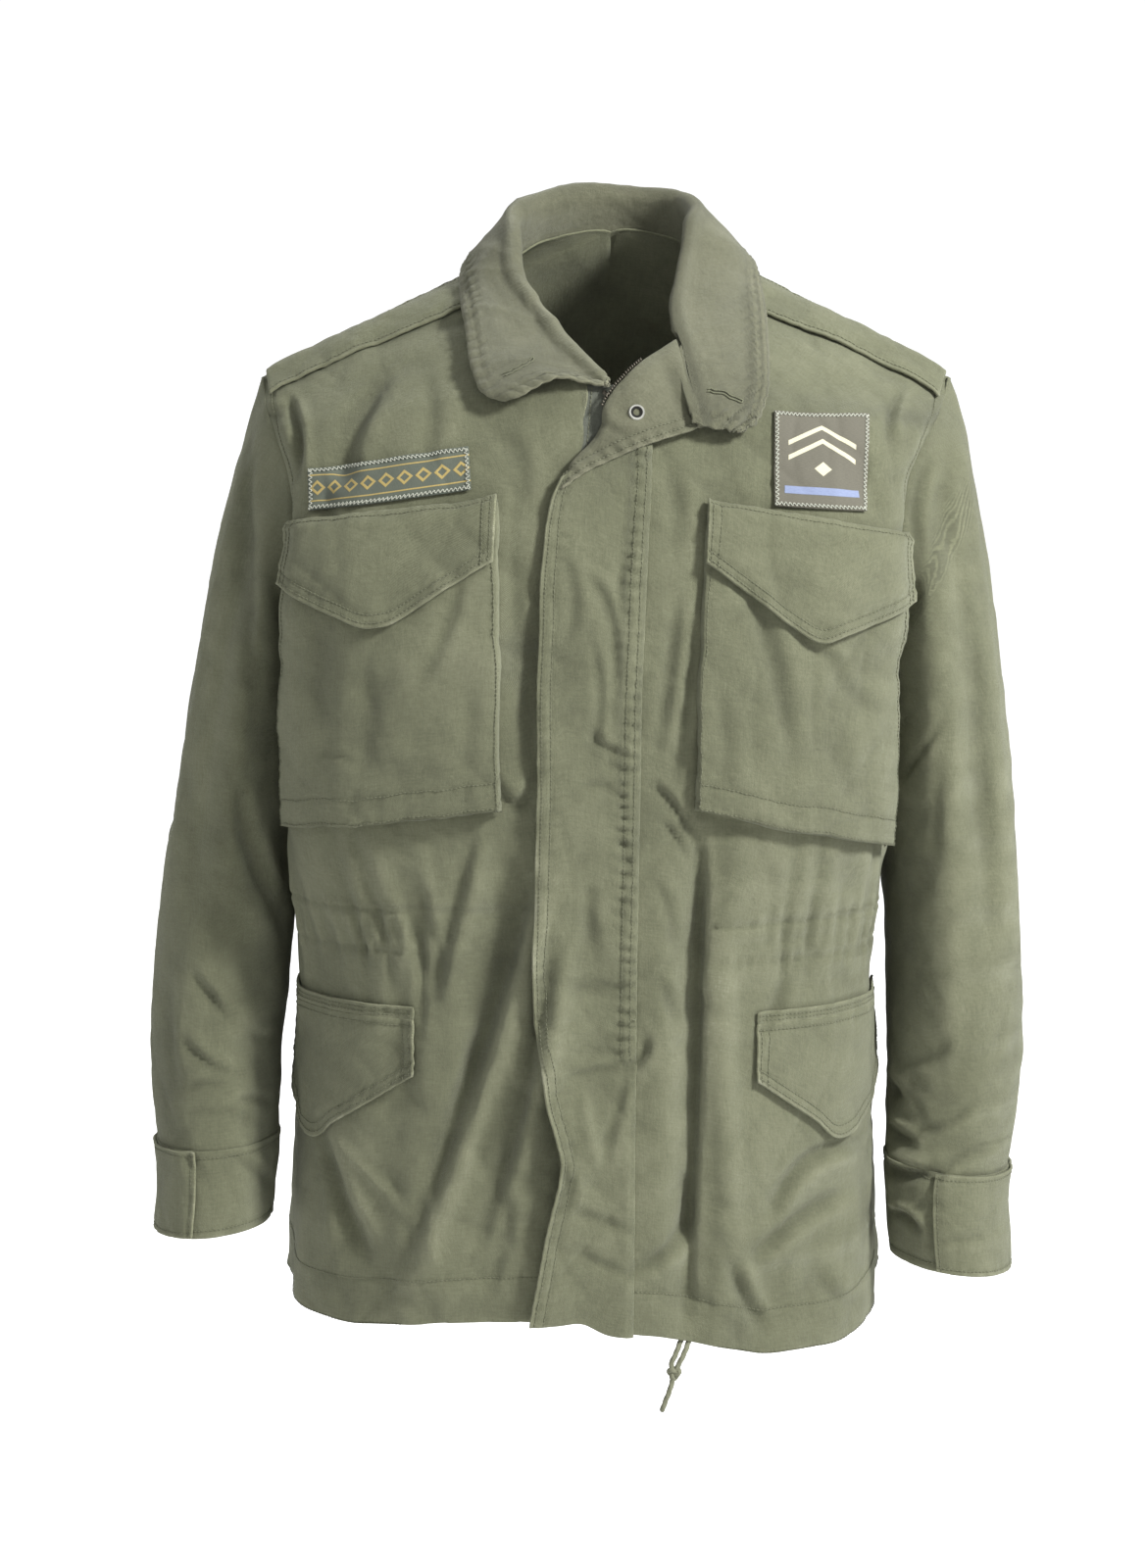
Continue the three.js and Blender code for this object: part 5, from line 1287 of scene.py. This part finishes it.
# %% [markdown]
# ## Snap, zip teeth and the stitched borders
# The socket is a small pressed ring whose well is painted near black as shade. The frame's own
# turned solid already has its form, so it only gets its metal. Buttonholes, the bar tack and the
# slider are rows of stitches or blocks along a path that is picked on the cloth from where it is
# seen, in millimetres of the picture plane. Zip teeth follow the edge of the turned-back top.

# %% Spots on the cloth
TURNED_AWAY = 0.2


def spot(name, h, k):
    """The point of a piece nearest to h, k in the picture plane, on the side that shows:
    p, or p - thick x out where the cloth is folded over and its inner side faces out. Of two
    layers the nearer one is taken, because 1 mm of depth counts as 0.12 mm of distance."""
    cloth = made[name][0]
    gap = np.linalg.norm(seen(cloth.points) - np.array([h, k]), axis=-1)
    depth = cloth.points @ AHEAD
    gap += 0.12 * (depth - depth.min())
    i, j = np.unravel_index(gap.argmin(), gap.shape)
    point, out = cloth.points[i, j], cloth.out[i, j]
    if out @ AHEAD < TURNED_AWAY:
        return point, out
    thick = next(row["thick"] for row in PIECES if row["name"] == name)
    return point - thick * out, -out


def path_on(name, spots, step=1.0):
    """A path over a piece through spots of the picture plane."""
    spots = np.array(spots, float)
    gone = np.concatenate([[0], np.cumsum(np.linalg.norm(np.diff(spots, axis=0), axis=1))])
    at = np.arange(0, gone[-1], step)
    h, k = (np.interp(at, gone, spots[:, n]) for n in (0, 1))
    found = [spot(name, *place) for place in zip(h, k)]
    points, out = (np.array(values) for values in zip(*found))
    for _ in range(3):
        points[1:-1] = (points[:-2] + 2 * points[1:-1] + points[2:]) / 4
    return points, out


# %% Snap socket and the patches' borders
low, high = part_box("snap_socket")
socket_look = metal("snap_metal", (0.42, 0.42, 0.38), 0.3,
                    (np.array(low) + np.array(high)) / 2)
for place in frame["nodes"]["snap_socket"].material_slots:
    place.material = socket_look


def border(name, reach=2.6, step=1.5):
    """A close zigzag of thread round a patch, between its edge and the reach."""
    cloth = made[name][0]
    found = []
    for edge in ("low", "end", "top", "start"):
        outer, out = seam_path(cloth, seam(edge, 0.5))
        inner, _ = seam_path(cloth, seam(edge, reach))
        gone = np.cumsum(np.linalg.norm(np.diff(outer, axis=0, prepend=outer[:1]), axis=1))
        share = np.clip(gone / gone[-1], 0, 1)
        own = np.linspace(0, 1, len(inner))
        beside = read_line(inner, own, share)
        at = np.arange(0, gone[-1], step)
        a, b, normal = (read_line(values, gone, at) for values in (outer, beside, out))
        turn = (np.arange(len(at)) % 2)[:, None]
        found.append(stitches(a * (1 - turn) + b * turn, normal, 1.35, 1.5, 0.42, 0.1))
    piece = mesh_object("border_" + name, *joined(found), pale_thread)
    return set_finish(piece, "tape" if name == "name_tape" else "patch")


for name in ("name_tape", "badge"):
    cloth_pieces[name][3].append(border(name))

# %% Buttonholes, zip slider and bar tack
SLOT_HALF = 1.2
MARKS = named("name piece path pitch long thick look slot", [
    ("buttonhole_left", "collar", [(95, 276), (107, 273), (119, 268)], 0.9, 2.2, 0.42, thread,
     "olive_worn"),
    ("buttonhole_right", "collar", [(-48, 286), (-38, 291), (-27, 297)], 0.9, 2.2, 0.42, thread,
     "olive_worn"),
    ("zip_slider", "zip_tape", [(22, 275), (25, 272)], 2.0, 3.4, 1.7, zip_metal, "metal"),
    ("bartack_fly", "fly", [(43, -166), (49, -166)], 0.8, 2.0, 0.5, thread, "olive"),
])
for mark in MARKS:
    path, out = path_on(mark["piece"], mark["path"])
    if mark["name"].startswith("button"):
        beside = SLOT_HALF * unit(np.cross(out, path[-1] - path[0]))
        path = np.concatenate([path + beside, path[::-1] - beside[::-1]])
        out = np.concatenate([out, out[::-1]])
    points, faces = stitches(path + out * 0.4, out, mark["pitch"], mark["long"], mark["thick"])
    piece = mesh_object(mark["name"], points, faces, mark["look"])
    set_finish(piece, mark["slot"])
    cloth_pieces[mark["piece"]][3].append(piece)

# %% Teeth along the neck edge of the turned-back top
lapel = made["lapel"][0].points
rows = slice(int(0.52 * len(lapel)), int(0.84 * len(lapel)))
roll_edge, outer = lapel[rows, 0], unit(lapel[rows, 0] - lapel[rows, 2])
points, faces = stitches(roll_edge + outer * 0.8 - AHEAD * 1.6, outer, 2.1, 1.4, 1.25)
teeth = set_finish(mesh_object("zip_teeth", points, faces, zip_metal), "metal")
cloth_pieces["lapel"][3].append(teeth)
print("teeth:", len(faces) // 20)

# %% The size that each sheet was cut to
# A welt is only a narrow turned strip, so it counts as a piece on its panel.
for side in ("right", "left"):
    welt, _, _, sewn = cloth_pieces.pop("welt_" + side)
    cloth_pieces["front_" + side][3].extend([welt, *sewn])
for piece, row, names, on_it in cloth_pieces.values():
    flat, area = flat_cut(*names)
    print(f"{piece.name}: {flat[0] * 1000:.0f} x {flat[1] * 1000:.0f} mm,"
          f" {area * 1e4:.0f} cm2, {len(piece.data.polygons)} faces")

# %% [markdown]
# ## Floor and light
# The jacket stands in the air as if worn, over a plain pale floor. One large soft light from
# the upper right and front draws the folds, as in the picture, and a pale world fills the
# rest. The picture's ground is pure white. A floor and a world that bright would light the
# folds too much, so both glow a little more for rays that come straight from the camera.

# %% Stage
FLOOR_GLOW, WORLD_GLOW, WORLD_LIGHT = 0.35, 0.33, 0.77
floor_mesh = bpy.data.meshes.new("floor")
reach, level = 14.0, -1.25
floor_mesh.from_pydata([(-reach, -reach, level), (reach, -reach, level),
                        (reach, reach, level), (-reach, reach, level)], [], [(0, 1, 2, 3)])
paper = Recipe("pale_floor", roughness=0.9)
paper.set("Base Color", (0.93, 0.93, 0.93, 1))
paper.set("Emission Color", (1, 1, 1, 1))
paper.set("Emission Strength", paper.add("ShaderNodeLightPath") * FLOOR_GLOW)
floor_mesh.materials.append(paper.material)
floor = bpy.data.objects.new("floor", floor_mesh)
bpy.context.scene.collection.objects.link(floor)

world = bpy.data.worlds.new("studio")
world.use_nodes = True
nodes, links = world.node_tree.nodes, world.node_tree.links
nodes["Background"].inputs["Color"].default_value = (0.96, 0.965, 0.97, 1)
seen_by, glow = nodes.new("ShaderNodeLightPath"), nodes.new("ShaderNodeMath")
glow.operation = "MULTIPLY_ADD"
glow.inputs[1].default_value, glow.inputs[2].default_value = WORLD_GLOW, WORLD_LIGHT
links.new(seen_by.outputs["Is Camera Ray"], glow.inputs[0])
links.new(glow.outputs[0], nodes["Background"].inputs["Strength"])
bpy.context.scene.world = world
bpy.context.scene.view_settings.view_transform = "Standard"

LIGHTS = named("name place aim size power", [
    ("key", (2.0, -1.4, 1.5), (0, 0, -0.35), 0.5, 165),
    ("behind", (-0.8, 2.8, 1.8), (0, 0, -0.3), 1.4, 60),
])
for row in LIGHTS:
    lamp = bpy.data.lights.new(row["name"], "AREA")
    lamp.size, lamp.energy = row["size"], row["power"]
    light = bpy.data.objects.new(row["name"], lamp)
    light.location = row["place"]
    aim = unit(np.array(row["aim"], float) - np.array(row["place"], float))
    light.rotation_euler = (np.arccos(-aim[2]), 0, np.arctan2(aim[1], aim[0]) - np.pi / 2)
    bpy.context.scene.collection.objects.link(light)

# %% Sizes
faces = sum(len(o.data.polygons) for o in bpy.data.objects
            if o.type == "MESH" and o.name not in frame["nodes"])
print("faces added:", faces)
